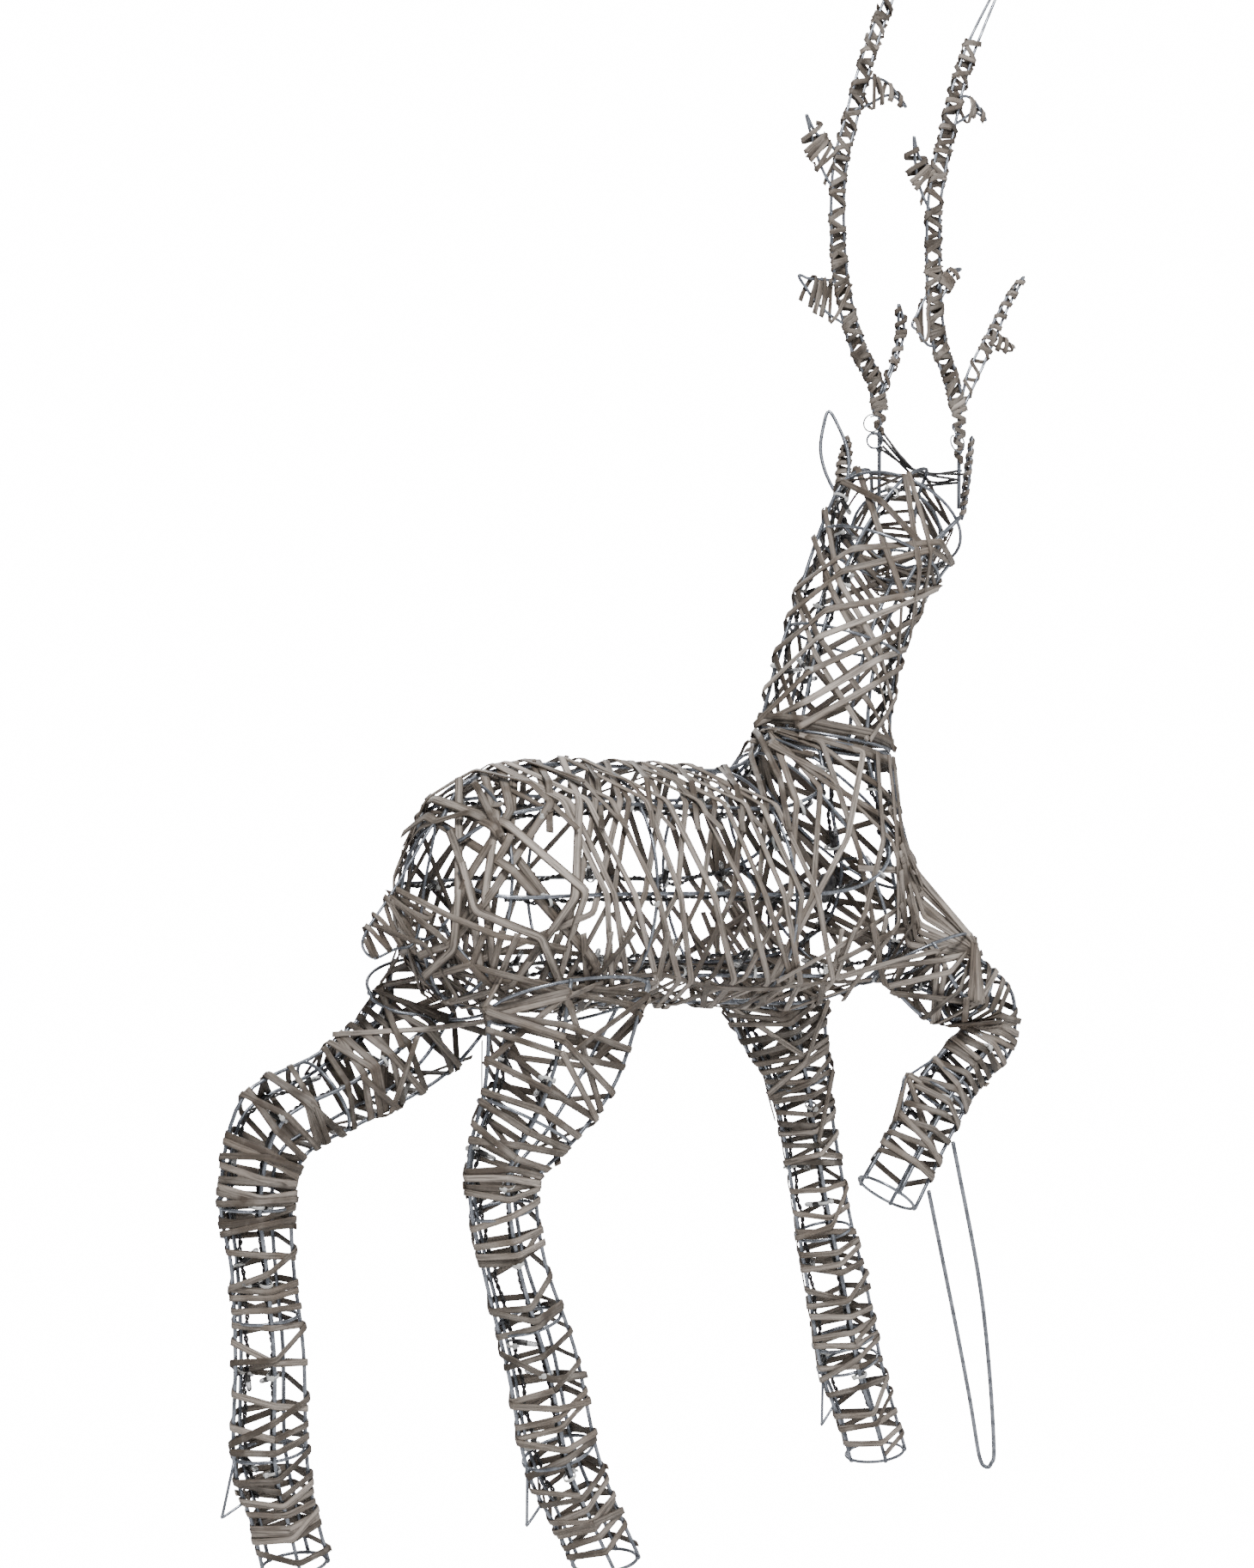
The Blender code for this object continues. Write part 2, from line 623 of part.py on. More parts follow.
def cable(name, tube, angles, start, end, parts, cutters, black):
    """A run of lamp cable inside a cage: out along one rail and back along another."""
    low, high = sorted((start, end))
    stops = [low] + [u for u in range(len(tube)) if low + 0.2 < u < high - 0.2] + [high]
    if start > end:
        stops.reverse()
    turn = angles[1] - angles[0]
    line = [on_tube(tube, u, angles[0], -CABLE_INSET) for u in stops]
    line += [on_tube(tube, end, angles[0] + turn * k / 4, -CABLE_INSET) for k in (1, 2, 3)]
    line += [on_tube(tube, u, angles[1], -CABLE_INSET) for u in reversed(stops)]
    run = as_mesh(wire_curve(name, [(line, False)], CABLE), cutters)
    in_collection(bpy.data.objects.new(name, run.data), parts, black)
    bpy.data.objects.remove(run)


def build_cables(parts, cutters, black):
    cable("body_lamp_cable", body_sections(), (90.0, 270.0), 8.4, 0.3, parts, cutters, black)
    cable("neck_lamp_cable", neck_sections(), (90.0, 330.0), 0.4, 4.4, parts, cutters, black)
    for name in LEGS:
        tube = leg_sections(name)
        cable(name + "_lamp_cable", tube, (108.0, 252.0), 0.4, len(tube) - 1.6,
              parts, cutters, black)


def main():
    clear_scene()
    parts = bpy.data.collections.new("light_up_reindeer")
    cutters = bpy.data.collections.new("cutters")
    for collection in (parts, cutters):
        bpy.context.scene.collection.children.link(collection)
    steel = material("galvanised_wire", (0.42, 0.45, 0.50), 0.35, 0.9)
    rattan = material("grey_rattan", (0.20, 0.17, 0.14), 0.65, 0.0)
    black = material("lamp_cable", (0.02, 0.02, 0.02), 0.5, 0.0)
    build_body(parts, cutters, steel, rattan)
    build_neck(parts, cutters, steel, rattan)
    for name in LEGS:
        build_leg(name, parts, cutters, steel, rattan)
    for name in ANTLERS:
        build_antler(name, parts, cutters, steel, rattan)
    build_prop(parts, cutters, steel)
    build_tail(parts, cutters, steel)
    for name in EARS:
        build_ear(name, parts, cutters, steel)
    build_cables(parts, cutters, black)


main()
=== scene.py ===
"""Light-up reindeer figure: the looks of the welded wire cages, the rattan strips wound round
them, the string of lamps tied inside, and the studio they stand in.  Metres; the animal faces
+X, its left side is +Y and it stands on z = 0."""

import math

import bpy
import numpy as np
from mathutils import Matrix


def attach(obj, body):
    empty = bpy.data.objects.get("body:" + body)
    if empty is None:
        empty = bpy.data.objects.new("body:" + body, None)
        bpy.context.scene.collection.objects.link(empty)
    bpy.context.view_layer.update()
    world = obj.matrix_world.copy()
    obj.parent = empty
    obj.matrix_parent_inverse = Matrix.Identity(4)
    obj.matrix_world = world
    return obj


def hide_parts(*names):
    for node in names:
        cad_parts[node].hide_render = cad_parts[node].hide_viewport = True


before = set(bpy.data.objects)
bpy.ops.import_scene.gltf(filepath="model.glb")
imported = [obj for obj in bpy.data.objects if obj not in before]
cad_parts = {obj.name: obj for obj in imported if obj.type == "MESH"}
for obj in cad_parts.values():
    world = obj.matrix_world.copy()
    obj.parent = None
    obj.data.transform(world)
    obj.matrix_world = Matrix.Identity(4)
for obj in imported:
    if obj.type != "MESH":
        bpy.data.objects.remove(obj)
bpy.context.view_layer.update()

# ---- driving dimensions ------------------------------------------------------------------
RAIL = 0.00175           # radius of the lengthwise wires
HOOP = 0.00150           # and of the hoops welded across them
ROD = 0.00130            # thin rods and the ears', tail's and antlers' wires
TINE = 0.00140           # the antlers' tines
PIN = 0.00180            # the prop and the antlers' pins
WELD = 0.0024            # a drop of weld
FOOT_WELD = 0.0034       # and one at an antler's foot
CURL = 0.00075           # the thin wire that curls over the head
STRIP_WIDTH = 0.0059     # rattan strip
STRIP_THICK = 0.0013
WIDE_STRIP = 0.0076      # the strips over the haunch
NARROW_STRIP = 0.0046    # and those wound on antlers, ears and tail
WIDTH_SPREAD = 0.07      # how far strips differ in width, as a share of it,
TONE_SPREAD = 0.05       # in tone from wire to wire
LIFT_SPREAD = 0.00025    # and in their distance from a wire
BOW_SPREAD = 0.0004      # how far a strip bows between two wires
BEND = 0.0040            # a strip bends over this length at a wire
WIRE_GAP = 0.0008        # from a wire to the innermost layer of strips
LAYER = 0.0014           # each layer of strips lies this much further out
WEBBING_LIFT = 0.0015    # the webbing over the nose, from the wires' middle
STRIP_TWIST = 7.0        # degrees a strip's face turns between two wires, more or less
TURN_STEPS = 8           # pieces of one turn of a strip round an antler or a leaf
EVEN_STEP = 0.003        # and the points' distance on the wires that it is wound on
GRAIN_SHIFT = 0.00137    # moves the grain on from strip to strip
LEAD = 0.00110           # radius of one lead of the lamp string's twisted pair
TWIST = 0.013            # length of one twist of the pair
LEAD_STEP = 0.0022       # and of one piece of a lead
LAMP_EVERY = 0.085       # from one lamp to the next
LEAD_INSET = 0.0060      # the string runs this far inside the wires' middle
LAMP_LENGTH = 0.0085
LAMP_RADIUS = 0.0023
SOCKET_LENGTH = 0.0110
SOCKET_RADIUS = 0.0026
TIE_REACH = 0.0048       # radius of a cable tie's loop
HOOF_RADIUS = 0.0290
HOOF_TILT = 8.0          # degrees a hoof ring rises towards its front
HEAD_TURN = 50.0         # degrees the face looks to the animal's left
HEAD_PIVOT = 0.235
TOP_LEAN = 30.0          # degrees the outer side of a leg's top hoop is raised
PLACE = np.array((0.027, -0.007, 0.0))   # from the drawing's origin to the part's

# ---- the cages' sections, as in the part: top x, top z, bottom x, bottom z, half width ---
BODY = [
    (-0.252, 0.626, -0.271, 0.530, 0.045), (-0.222, 0.661, -0.244, 0.478, 0.081),
    (-0.150, 0.672, -0.160, 0.466, 0.098), (-0.040, 0.666, -0.045, 0.463, 0.100),
    (0.040, 0.662, 0.055, 0.456, 0.100), (0.072, 0.672, 0.150, 0.452, 0.099),
    (0.082, 0.682, 0.224, 0.480, 0.091), (0.088, 0.689, 0.239, 0.535, 0.075),
    (0.092, 0.692, 0.220, 0.610, 0.068), (0.095, 0.693, 0.213, 0.669, 0.059),
]
NECK = [
    (0.096, 0.698, 0.213, 0.674, 0.059), (0.115, 0.760, 0.218, 0.729, 0.053),
    (0.140, 0.821, 0.238, 0.784, 0.053), (0.164, 0.878, 0.266, 0.824, 0.059),
    (0.190, 0.922, 0.286, 0.840, 0.062), (0.240, 0.936, 0.290, 0.836, 0.054),
    (0.300, 0.915, 0.308, 0.824, 0.043), (0.350, 0.886, 0.348, 0.818, 0.033),
    (0.390, 0.860, 0.384, 0.816, 0.025),
]
NECK_TURN = [0.0, 0.0, 0.0, 0.08, 0.35, 0.75, 1.0, 1.0, 1.0]
LEGS = {   # x, z, half depth, half width of its sections; side (+1 left), y, tip of its top
    "right_hind_leg": ([
        (-0.172, 0.480, 0.078, 0.046), (-0.190, 0.440, 0.067, 0.043),
        (-0.212, 0.392, 0.049, 0.038), (-0.239, 0.352, 0.033, 0.031),
        (-0.240, 0.322, 0.029, 0.028), (-0.228, 0.262, 0.027, 0.027),
        (-0.203, 0.186, 0.031, 0.030), (-0.184, 0.104, 0.032, 0.031),
        (-0.160, 0.052, 0.028, 0.028), (-0.137, 0.012, 0.029, 0.029)], -1, 0.075, 0.0),
    "left_hind_leg": ([
        (-0.213, 0.480, 0.068, 0.045), (-0.242, 0.440, 0.046, 0.041),
        (-0.312, 0.402, 0.036, 0.035), (-0.374, 0.376, 0.038, 0.033),
        (-0.391, 0.322, 0.032, 0.029), (-0.386, 0.262, 0.027, 0.027),
        (-0.380, 0.186, 0.030, 0.030), (-0.380, 0.104, 0.032, 0.031),
        (-0.368, 0.052, 0.028, 0.028), (-0.356, 0.012, 0.029, 0.029)], 1, 0.065, 0.0),
    "left_fore_leg": ([
        (0.146, 0.462, 0.056, 0.044), (0.162, 0.424, 0.045, 0.039),
        (0.180, 0.378, 0.031, 0.031), (0.193, 0.322, 0.026, 0.026),
        (0.210, 0.240, 0.027, 0.027), (0.230, 0.158, 0.030, 0.030),
        (0.244, 0.096, 0.031, 0.030), (0.262, 0.050, 0.028, 0.028),
        (0.277, 0.012, 0.029, 0.029)], 1, 0.075, 0.0),
    "right_fore_leg": ([
        (0.214, 0.491, 0.050, 0.042), (0.236, 0.473, 0.040, 0.037),
        (0.262, 0.460, 0.031, 0.031), (0.289, 0.442, 0.027, 0.027),
        (0.290, 0.414, 0.025, 0.025), (0.262, 0.392, 0.024, 0.025),
        (0.234, 0.366, 0.026, 0.027), (0.204, 0.325, 0.027, 0.027),
        (0.174, 0.284, 0.029, 0.029)], -1, 0.066, 12.0),
}
SPURS = {                # where the bare ankle wire leaves the shin and where it comes back
    "right_hind_leg": (7.0, 7.5), "left_hind_leg": (7.0, 7.6),
    "left_fore_leg": (6.0, 6.6), "right_fore_leg": (5.3, 6.7),
}
SPUR_LENGTH = 0.042
PROP = [                 # the bare wire under the raised hoof
    (0.2357, -0.0844, 0.326), (0.288, -0.060, 0.195), (0.320, -0.039, 0.100),
    (0.342, -0.021, 0.020), (0.3415, -0.018, 0.005), (0.337, -0.016, 0.0018),
    (0.332, -0.012, 0.012), (0.309, -0.025, 0.070), (0.272, -0.047, 0.150),
    (0.2071, -0.0851, 0.2848),
]
EARS = {                 # foot, tip, half width
    "left_ear": ((0.201, 0.0370, 0.905), (0.202, 0.055, 0.983), (0.010, -0.007, 0.0)),
    "right_ear": ((0.278, -0.0430, 0.884), (0.284, -0.049, 0.958), (0.004, 0.008, 0.0)),
}
INNER_LEAF = ((0.204, 0.041, 0.907), (0.218, 0.047, 0.960), (0.004, -0.003, 0.0))
TAIL = [(-0.2558, 0.6250), (-0.276, 0.600), (-0.2925, 0.577), (-0.306, 0.560), (-0.322, 0.540),
        (-0.325, 0.527), (-0.314, 0.518), (-0.295, 0.524), (-0.2749, 0.5305), (-0.2654, 0.578)]
ANTLERS = {              # y of its plane, the beam's middle line, and the tines' outlines: x, z
    "left_antler": (0.036, [
        (0.246, 0.985), (0.240, 1.012), (0.222, 1.037), (0.207, 1.075), (0.198, 1.120),
        (0.196, 1.172), (0.200, 1.210), (0.211, 1.245), (0.222, 1.280), (0.237, 1.320),
        (0.256, 1.360), (0.268, 1.385)], [
        [(0.203, 1.095), (0.172, 1.104), (0.152, 1.102), (0.168, 1.078), (0.212, 1.058)],
        [(0.195, 1.178), (0.172, 1.206), (0.160, 1.246), (0.175, 1.232), (0.199, 1.212)],
        [(0.223, 1.282), (0.252, 1.286), (0.276, 1.262), (0.254, 1.268), (0.215, 1.254)],
        [(0.246, 0.999), (0.262, 1.034), (0.268, 1.082), (0.277, 1.059), (0.246, 0.992)]]),
    "right_antler": (-0.022, [
        (0.292, 0.982), (0.281, 1.014), (0.268, 1.042), (0.262, 1.084), (0.260, 1.122),
        (0.261, 1.165), (0.267, 1.200), (0.277, 1.235), (0.287, 1.270), (0.300, 1.303),
        (0.314, 1.330), (0.330, 1.358)], [
        [(0.257, 1.160), (0.239, 1.190), (0.237, 1.226), (0.247, 1.208), (0.266, 1.192)],
        [(0.290, 1.266), (0.308, 1.266), (0.322, 1.247), (0.306, 1.250), (0.283, 1.240)],
        [(0.265, 1.092), (0.280, 1.110), (0.293, 1.111), (0.282, 1.100), (0.266, 1.078)],
        [(0.258, 1.084), (0.246, 1.082), (0.236, 1.058), (0.246, 1.042), (0.264, 1.040)],
        [(0.294, 0.990), (0.303, 1.020), (0.324, 1.056), (0.345, 1.090), (0.369, 1.108),
         (0.356, 1.082), (0.338, 1.052), (0.320, 1.024), (0.296, 0.984)]]),
}
BEAM_SPREAD = (0.0075, 0.0025)  # half the distance between a beam's wires, low and at its tip
PIN_LENGTH = 0.088


# ---- vectors -----------------------------------------------------------------------------
def unit(v):
    return v / np.maximum(np.linalg.norm(v, axis=-1, keepdims=True), 1e-9)


def flattened(v, along):
    """v without its share along a direction, at length 1."""
    return unit(v - along * (v * along).sum(-1, keepdims=True))


def smooth(points, steps, closed=False):
    """A smooth curve through points, with some steps from each to the next."""
    p = np.asarray(points, float)
    if closed:
        p = np.concatenate((p[-1:], p, p[:2]))
    else:
        p = np.concatenate((2 * p[:1] - p[1:2], p, 2 * p[-1:] - p[-2:-1]))
    t = (np.arange(steps) / steps)[:, None]
    made = [catmull(p[i], p[i + 1], p[i + 2], p[i + 3], t) for i in range(len(p) - 3)]
    if not closed:
        made.append(p[-2:-1])
    return np.concatenate(made)


def catmull(a, b, c, d, t):
    return b + (c - a) * t / 2 + (a - 2.5 * b + 2 * c - d / 2) * t ** 2 \
        + ((d - a) / 2 + 1.5 * (b - c)) * t ** 3


def tangents(path, closed=False):
    if closed:
        return unit(np.roll(path, -1, 0) - np.roll(path, 1, 0))
    return unit(np.gradient(path, axis=0))


def lengths(line):
    """How far along a line each of its points lies."""
    gaps = np.linalg.norm(np.diff(line, axis=0), axis=1)
    return np.concatenate(((0.0,), np.cumsum(gaps)))


def resampled(line, length, spots):
    """A line's points at other spots along it."""
    return np.stack([np.interp(spots, length, line[:, k]) for k in range(3)], 1)


def evened(line):
    """A line with its points a step apart."""
    length = lengths(line)
    return resampled(line, length, np.linspace(0, length[-1], int(length[-1] / EVEN_STEP) + 2))


def evened_pair(one, other):
    """Two wires side by side, evened and cut to the same number of points."""
    one, other = evened(one), evened(other)
    count = min(len(one), len(other))
    return one[:count], other[:count]


def carried(path, closed=False):
    """A direction square to a path, carried along it without turning."""
    run = tangents(path, closed)
    first = np.eye(3)[np.argmin(abs(run[0]))]
    out = [flattened(first, run[0])]
    for way in run[1:]:
        out.append(flattened(out[-1], way))
    return np.array(out)


# ---- tubes: a cage is a smooth row of oval sections --------------------------------------
class Tube:
    """A cage, its lengthwise wires evenly round it from the first one's angle."""

    def __init__(self, centres, tops, sides, rails, first):
        self.rails, self.first = rails, first
        rows = np.stack((centres, tops, sides), 1).reshape(len(centres), 9)
        self.last = len(rows) - 1
        self.rows = np.concatenate((2 * rows[:1] - rows[1:2], rows,
                                    2 * rows[-1:] - rows[-2:-1]))

    def at(self, u):
        u = np.clip(np.asarray(u, float), 0.0, self.last)
        i = np.minimum(u.astype(int), self.last - 1)
        t = (u - i)[..., None]
        r = self.rows
        row = catmull(r[i], r[i + 1], r[i + 2], r[i + 3], t)
        return row[..., 0:3], row[..., 3:6], row[..., 6:9]

    def on(self, u, angle):
        """A point on the cage's wires; angle goes from its top over the animal's left side."""
        centre, top, side = self.at(u)
        turn = np.radians(angle)[..., None]
        return centre + top * np.cos(turn) + side * np.sin(turn)

    def outward(self, u, angle):
        """The way that faces straight out of the cage there."""
        u, angle = np.broadcast_arrays(np.asarray(u, float), np.asarray(angle, float))
        near = np.clip(u, 0.05, self.last - 0.05)
        ahead = self.on(near + 0.05, angle) - self.on(near - 0.05, angle)
        around = self.on(near, angle + 2.0) - self.on(near, angle - 2.0)
        out = unit(np.cross(around, ahead))
        away = self.on(near, angle) - self.at(near)[0]
        return out * np.sign((out * away).sum(-1, keepdims=True))

    def point(self, u, angle, lift=0.0):
        """A point as far outside the wires' middle as its lift."""
        u, angle = np.broadcast_arrays(np.asarray(u, float), np.asarray(angle, float))
        return self.on(u, angle) + self.outward(u, angle) * np.asarray(lift, float)[..., None]

    def rail(self, k):
        """The angle of a lengthwise wire."""
        return self.first + 360.0 * k / self.rails

    def pace(self, u):
        """Metres of the cage in one section there."""
        u = min(max(u, 0.1), self.last - 0.1)
        return float(np.linalg.norm(self.at(u + 0.1)[0] - self.at(u - 0.1)[0])) / 0.2


def upright_tube(rows, shares, rails, first):
    """Sections that lean in the animal's middle plane; shares of the head's turn swing them."""
    centres, tops, sides = [], [], []
    for (top_x, top_z, low_x, low_z, wide), share in zip(rows, shares):
        turn = math.radians(HEAD_TURN * share)
        swing = np.array(((math.cos(turn), -math.sin(turn), 0),
                          (math.sin(turn), math.cos(turn), 0), (0, 0, 1)))
        pivot = np.array((HEAD_PIVOT, 0, 0))
        top = pivot + swing @ (np.array((top_x, 0, top_z)) - pivot)
        low = pivot + swing @ (np.array((low_x, 0, low_z)) - pivot)
        centres.append((top + low) / 2 + PLACE)
        tops.append((top - low) / 2)
        sides.append(swing @ np.array((0, wide, 0)))
    return Tube(centres, tops, sides, rails, first)


def leg_tube(name):
    stations, side, inset, tip = LEGS[name]
    points = [np.array((x, side * inset, z)) for x, z, _, _ in stations]
    last = len(points) - 1
    centres, tops, sides = [], [], []
    for i, (point, station) in enumerate(zip(points, stations)):
        along = unit(points[min(i + 1, last)] - points[max(i - 1, 0)])
        left = np.array((0.0, 1.0, 0.0))
        front = unit(np.cross(along, left))
        if i == 0:
            lean, rise = math.radians(TOP_LEAN) * side, math.radians(tip)
            left = np.array((0, math.cos(lean), math.sin(lean)))
            front = np.array((math.cos(rise), 0, math.sin(rise)))
        if i == last and name != "right_fore_leg":
            rise = math.radians(HOOF_TILT)
            front = np.array((math.cos(rise), 0, math.sin(rise)))
            point = np.array((point[0], point[1], HOOF_RADIUS * math.sin(rise) + HOOP))
        centres.append(point + PLACE)
        tops.append(front * station[2])
        sides.append(left * station[3])
    return Tube(centres, tops, sides, 5, 36.0)


TUBES = {"body": upright_tube(BODY, [0.0] * len(BODY), 8, 0.0),
         "neck": upright_tube(NECK, NECK_TURN, 6, 30.0)}
TUBES.update({name: leg_tube(name) for name in LEGS})


# ---- meshes: sections swept along paths --------------------------------------------------
def ring_profile(radius, sides):
    turn = 2 * np.pi * np.arange(sides) / sides
    return np.stack((np.cos(turn), np.sin(turn)), 1) * radius


def strip_profile(width, thick):
    """A flat strip with soft edges, its face a little crowned."""
    w, t = width / 2, thick / 2
    return np.array(((w, 0), (0.90 * w, 0.80 * t), (0.4 * w, t), (-0.4 * w, t),
                     (-0.90 * w, 0.80 * t), (-w, 0), (-0.90 * w, -0.8 * t),
                     (-0.4 * w, -t), (0.4 * w, -t), (0.90 * w, -0.8 * t)))


class Skin:
    """Gathers the swept forms of one piece.  At each vertex it keeps where it is along and
    across its own strip or wire, and a tone of its own."""

    def __init__(self):
        self.points, self.faces, self.grain, self.tones = [], [], [], []
        self.count = 0

    def sweep(self, path, normals, profile, closed=False, tone=0.5, scale=None):
        path, normals = np.asarray(path, float), np.asarray(normals, float)
        n, m = len(path), len(profile)
        run = tangents(path, closed)
        out = flattened(normals, run)
        across = np.cross(out, run)
        size = np.ones(n) if scale is None else np.asarray(scale, float)
        rings = (path[:, None] + across[:, None] * (profile[None, :, 0, None] * size[:, None, None])
                 + out[:, None] * (profile[None, :, 1, None] * size[:, None, None]))
        grain = np.zeros((n, m, 3))
        grain[..., 0] = (lengths(path) + self.count * GRAIN_SHIFT)[:, None]
        grain[..., 1:] = profile
        self.keep(rings, grain, tone, closed)

    def keep(self, rings, grain, tone, closed=False):
        """Joins a row of rings with faces and closes its ends, unless it is a loop."""
        n, m = rings.shape[:2]
        i = np.arange(n if closed else n - 1)[:, None]
        j = np.arange(m)[None, :]
        after, beside = (i + 1) % n, (j + 1) % m
        quads = np.stack((i * m + j, i * m + beside, after * m + beside, after * m + j), -1)
        self.faces += (quads.reshape(-1, 4) + self.count).tolist()
        if not closed:
            self.faces.append([self.count + k for k in reversed(range(m))])
            self.faces.append([self.count + (n - 1) * m + k for k in range(m)])
        self.points.append(rings.reshape(-1, 3))
        self.grain.append(grain.reshape(-1, 3))
        self.tones.append(np.repeat(np.broadcast_to(np.asarray(tone, float), (n,)), m))
        self.count += n * m

    def wire(self, path, radius, closed=False, sides=8, tone=0.5):
        path = np.asarray(path, float)
        self.sweep(path, carried(path, closed), ring_profile(radius, sides), closed, tone)

    def turned(self, foot, way, shape, sides, tone=0.5):
        """A turned form on an axis: shape is (how far along, radius) for each ring."""
        foot, way = np.asarray(foot, float), unit(np.asarray(way, float))
        side = flattened(np.eye(3)[np.argmin(abs(way))], way)
        across = np.cross(side, way)
        turn = 2 * np.pi * np.arange(sides) / sides
        ring = across[None] * np.cos(turn)[:, None] + side[None] * np.sin(turn)[:, None]
        shape = np.asarray(shape, float)
        rings = foot + way * shape[:, None, None, 0] + ring[None] * shape[:, None, None, 1]
        grain = np.zeros((len(shape), sides, 3))
        grain[..., 0] = shape[:, None, 0]
        grain[..., 1] = turn[None] * 0.002
        self.keep(rings, grain, tone)

    def block(self, middle, axes, half):
        """A small block with its edges taken off."""
        middle, axes, half = (np.asarray(v, float) for v in (middle, axes, half))
        outline = np.array(((1, 0.6), (0.6, 1), (-0.6, 1), (-1, 0.6), (-1, -0.6), (-0.6, -1),
                            (0.6, -1), (1, -0.6)))
        path = np.array([middle + axes[2] * half[2] * s for s in (-1, -0.7, 0.7, 1)])
        self.sweep(path, np.tile(axes[1], (4, 1)), outline * half[:2], scale=(0.8, 1, 1, 0.8))


def placed_object(name, data):
    made = bpy.data.objects.new(name, data)
    bpy.context.scene.collection.objects.link(made)
    return made


def piece(name, skin, look, *nodes):
    """One visible piece, in place of its nodes of the frame."""
    mesh = bpy.data.meshes.new(name)
    points = np.concatenate(skin.points)
    mesh.from_pydata(points.tolist(), [], skin.faces)
    grain = mesh.attributes.new("lengthwise", "FLOAT_VECTOR", "POINT")
    grain.data.foreach_set("vector", np.concatenate(skin.grain).astype(np.float32).ravel())
    tone = mesh.attributes.new("tone", "FLOAT", "POINT")
    tone.data.foreach_set("value", np.concatenate(skin.tones).astype(np.float32))
    mesh.polygons.foreach_set("use_smooth", np.ones(len(mesh.polygons), bool))
    material, slot = look
    mesh.materials.append(material)
    mesh.update()
    made = placed_object(name, mesh)
    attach(made, "root")
    if nodes:
        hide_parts(*nodes)


# ---- finishes ----------------------------------------------------------------------------
class Sheet:
    """A node tree with short ways to add nodes and links."""

    def __init__(self, tree):
        self.tree = tree

    def add(self, kind, **settings):
        node = self.tree.nodes.new(kind)
        for name, value in settings.items():
            if name in node.inputs:
                node.inputs[name].default_value = value
            else:
                setattr(node, name, value)
        return node

    def join(self, source, target):
        self.tree.links.new(source, target)

    def math(self, kind, *values, clamp=False):
        node = self.add("ShaderNodeMath", operation=kind, use_clamp=clamp)
        for target, value in zip(node.inputs, values):
            self.feed(value, target)
        return node.outputs[0]

    def feed(self, value, target):
        """Sets a socket's value, or links it where the value is another socket."""
        if isinstance(value, (int, float, tuple)):
            target.default_value = value
        else:
            self.join(value, target)

    def noise(self, vector, scale, detail, roughness=0.55):
        node = self.add("ShaderNodeTexNoise", Scale=scale, Detail=detail, Roughness=roughness)
        self.join(vector, node.inputs["Vector"])
        return node.outputs["Fac"]

    def stretched(self, vector, factors):
        node = self.add("ShaderNodeVectorMath", operation="MULTIPLY")
        self.join(vector, node.inputs[0])
        node.inputs[1].default_value = factors
        return node.outputs[0]

    def ramp(self, value, stops):
        node = self.add("ShaderNodeValToRGB")
        band = node.color_ramp
        while len(band.elements) > 1:
            band.elements.remove(band.elements[-1])
        band.elements[0].position, band.elements[0].color = stops[0]
        for place, colour in stops[1:]:
            band.elements.new(place).color = colour
        self.join(value, node.inputs["Fac"])
        return node.outputs["Color"]

    def mix(self, share, a, b):
        node = self.add("ShaderNodeMix", data_type="RGBA")
        for socket, value in (("Factor", share), (6, a), (7, b)):
            self.feed(value, node.inputs[socket])
        return node.outputs[2]

    def attribute(self, name):
        return self.add("ShaderNodeAttribute", attribute_name=name)


def group(name, inputs, outputs):
    """An empty node group with its sockets: (name, kind, value) and (name, kind)."""
    tree = bpy.data.node_groups.new(name, "ShaderNodeTree")
    for socket, kind, value in inputs:
        made = tree.interface.new_socket(socket, in_out="INPUT", socket_type=kind)
        if value is not None:
            made.default_value = value
    for socket, kind in outputs:
        tree.interface.new_socket(socket, in_out="OUTPUT", socket_type=kind)
    sheet = Sheet(tree)
    return tree, sheet, sheet.add("NodeGroupInput"), sheet.add("NodeGroupOutput")


def grain_group():
    """Fibres along a strip: their height, and how dark the furrows between them are."""
    tree, s, given, out = group(
        "lengthwise_grain",
        [("Along And Across", "NodeSocketVector", None),
         ("Fineness", "NodeSocketFloat", 1.0), ("Waviness", "NodeSocketFloat", 0.3)],
        [("Height", "NodeSocketFloat"), ("Furrow", "NodeSocketFloat")])
    bend = s.noise(s.stretched(given.outputs[0], (60.0, 120.0, 120.0)), 1.0, 2.0)
    sway = s.math("MULTIPLY", s.math("MULTIPLY", s.math("SUBTRACT", bend, 0.5), 0.002),
                  given.outputs[2])
    shifted = s.add("ShaderNodeCombineXYZ")
    s.join(sway, shifted.inputs["Y"])
    moved = s.add("ShaderNodeVectorMath", operation="ADD")
    s.join(given.outputs[0], moved.inputs[0])
    s.join(shifted.outputs[0], moved.inputs[1])
    scaled = s.add("ShaderNodeVectorMath", operation="SCALE")
    s.join(moved.outputs[0], scaled.inputs[0])
    s.join(given.outputs[1], scaled.inputs["Scale"])
    fine = s.noise(s.stretched(scaled.outputs[0], (40.0, 1500.0, 900.0)), 1.0, 4.0, 0.65)
    coarse = s.noise(s.stretched(scaled.outputs[0], (24.0, 520.0, 400.0)), 1.0, 2.0)
    height = s.math("ADD", s.math("MULTIPLY", fine, 0.6), s.math("MULTIPLY", coarse, 0.5))
    s.join(height, out.inputs["Height"])
    dark = s.ramp(s.math("ADD", s.math("MULTIPLY", fine, 0.5), s.math("MULTIPLY", coarse, 0.5)),
                  [(0.38, (1, 1, 1, 1)), (0.55, (0, 0, 0, 1))])
    s.join(dark, out.inputs["Furrow"])
    return tree


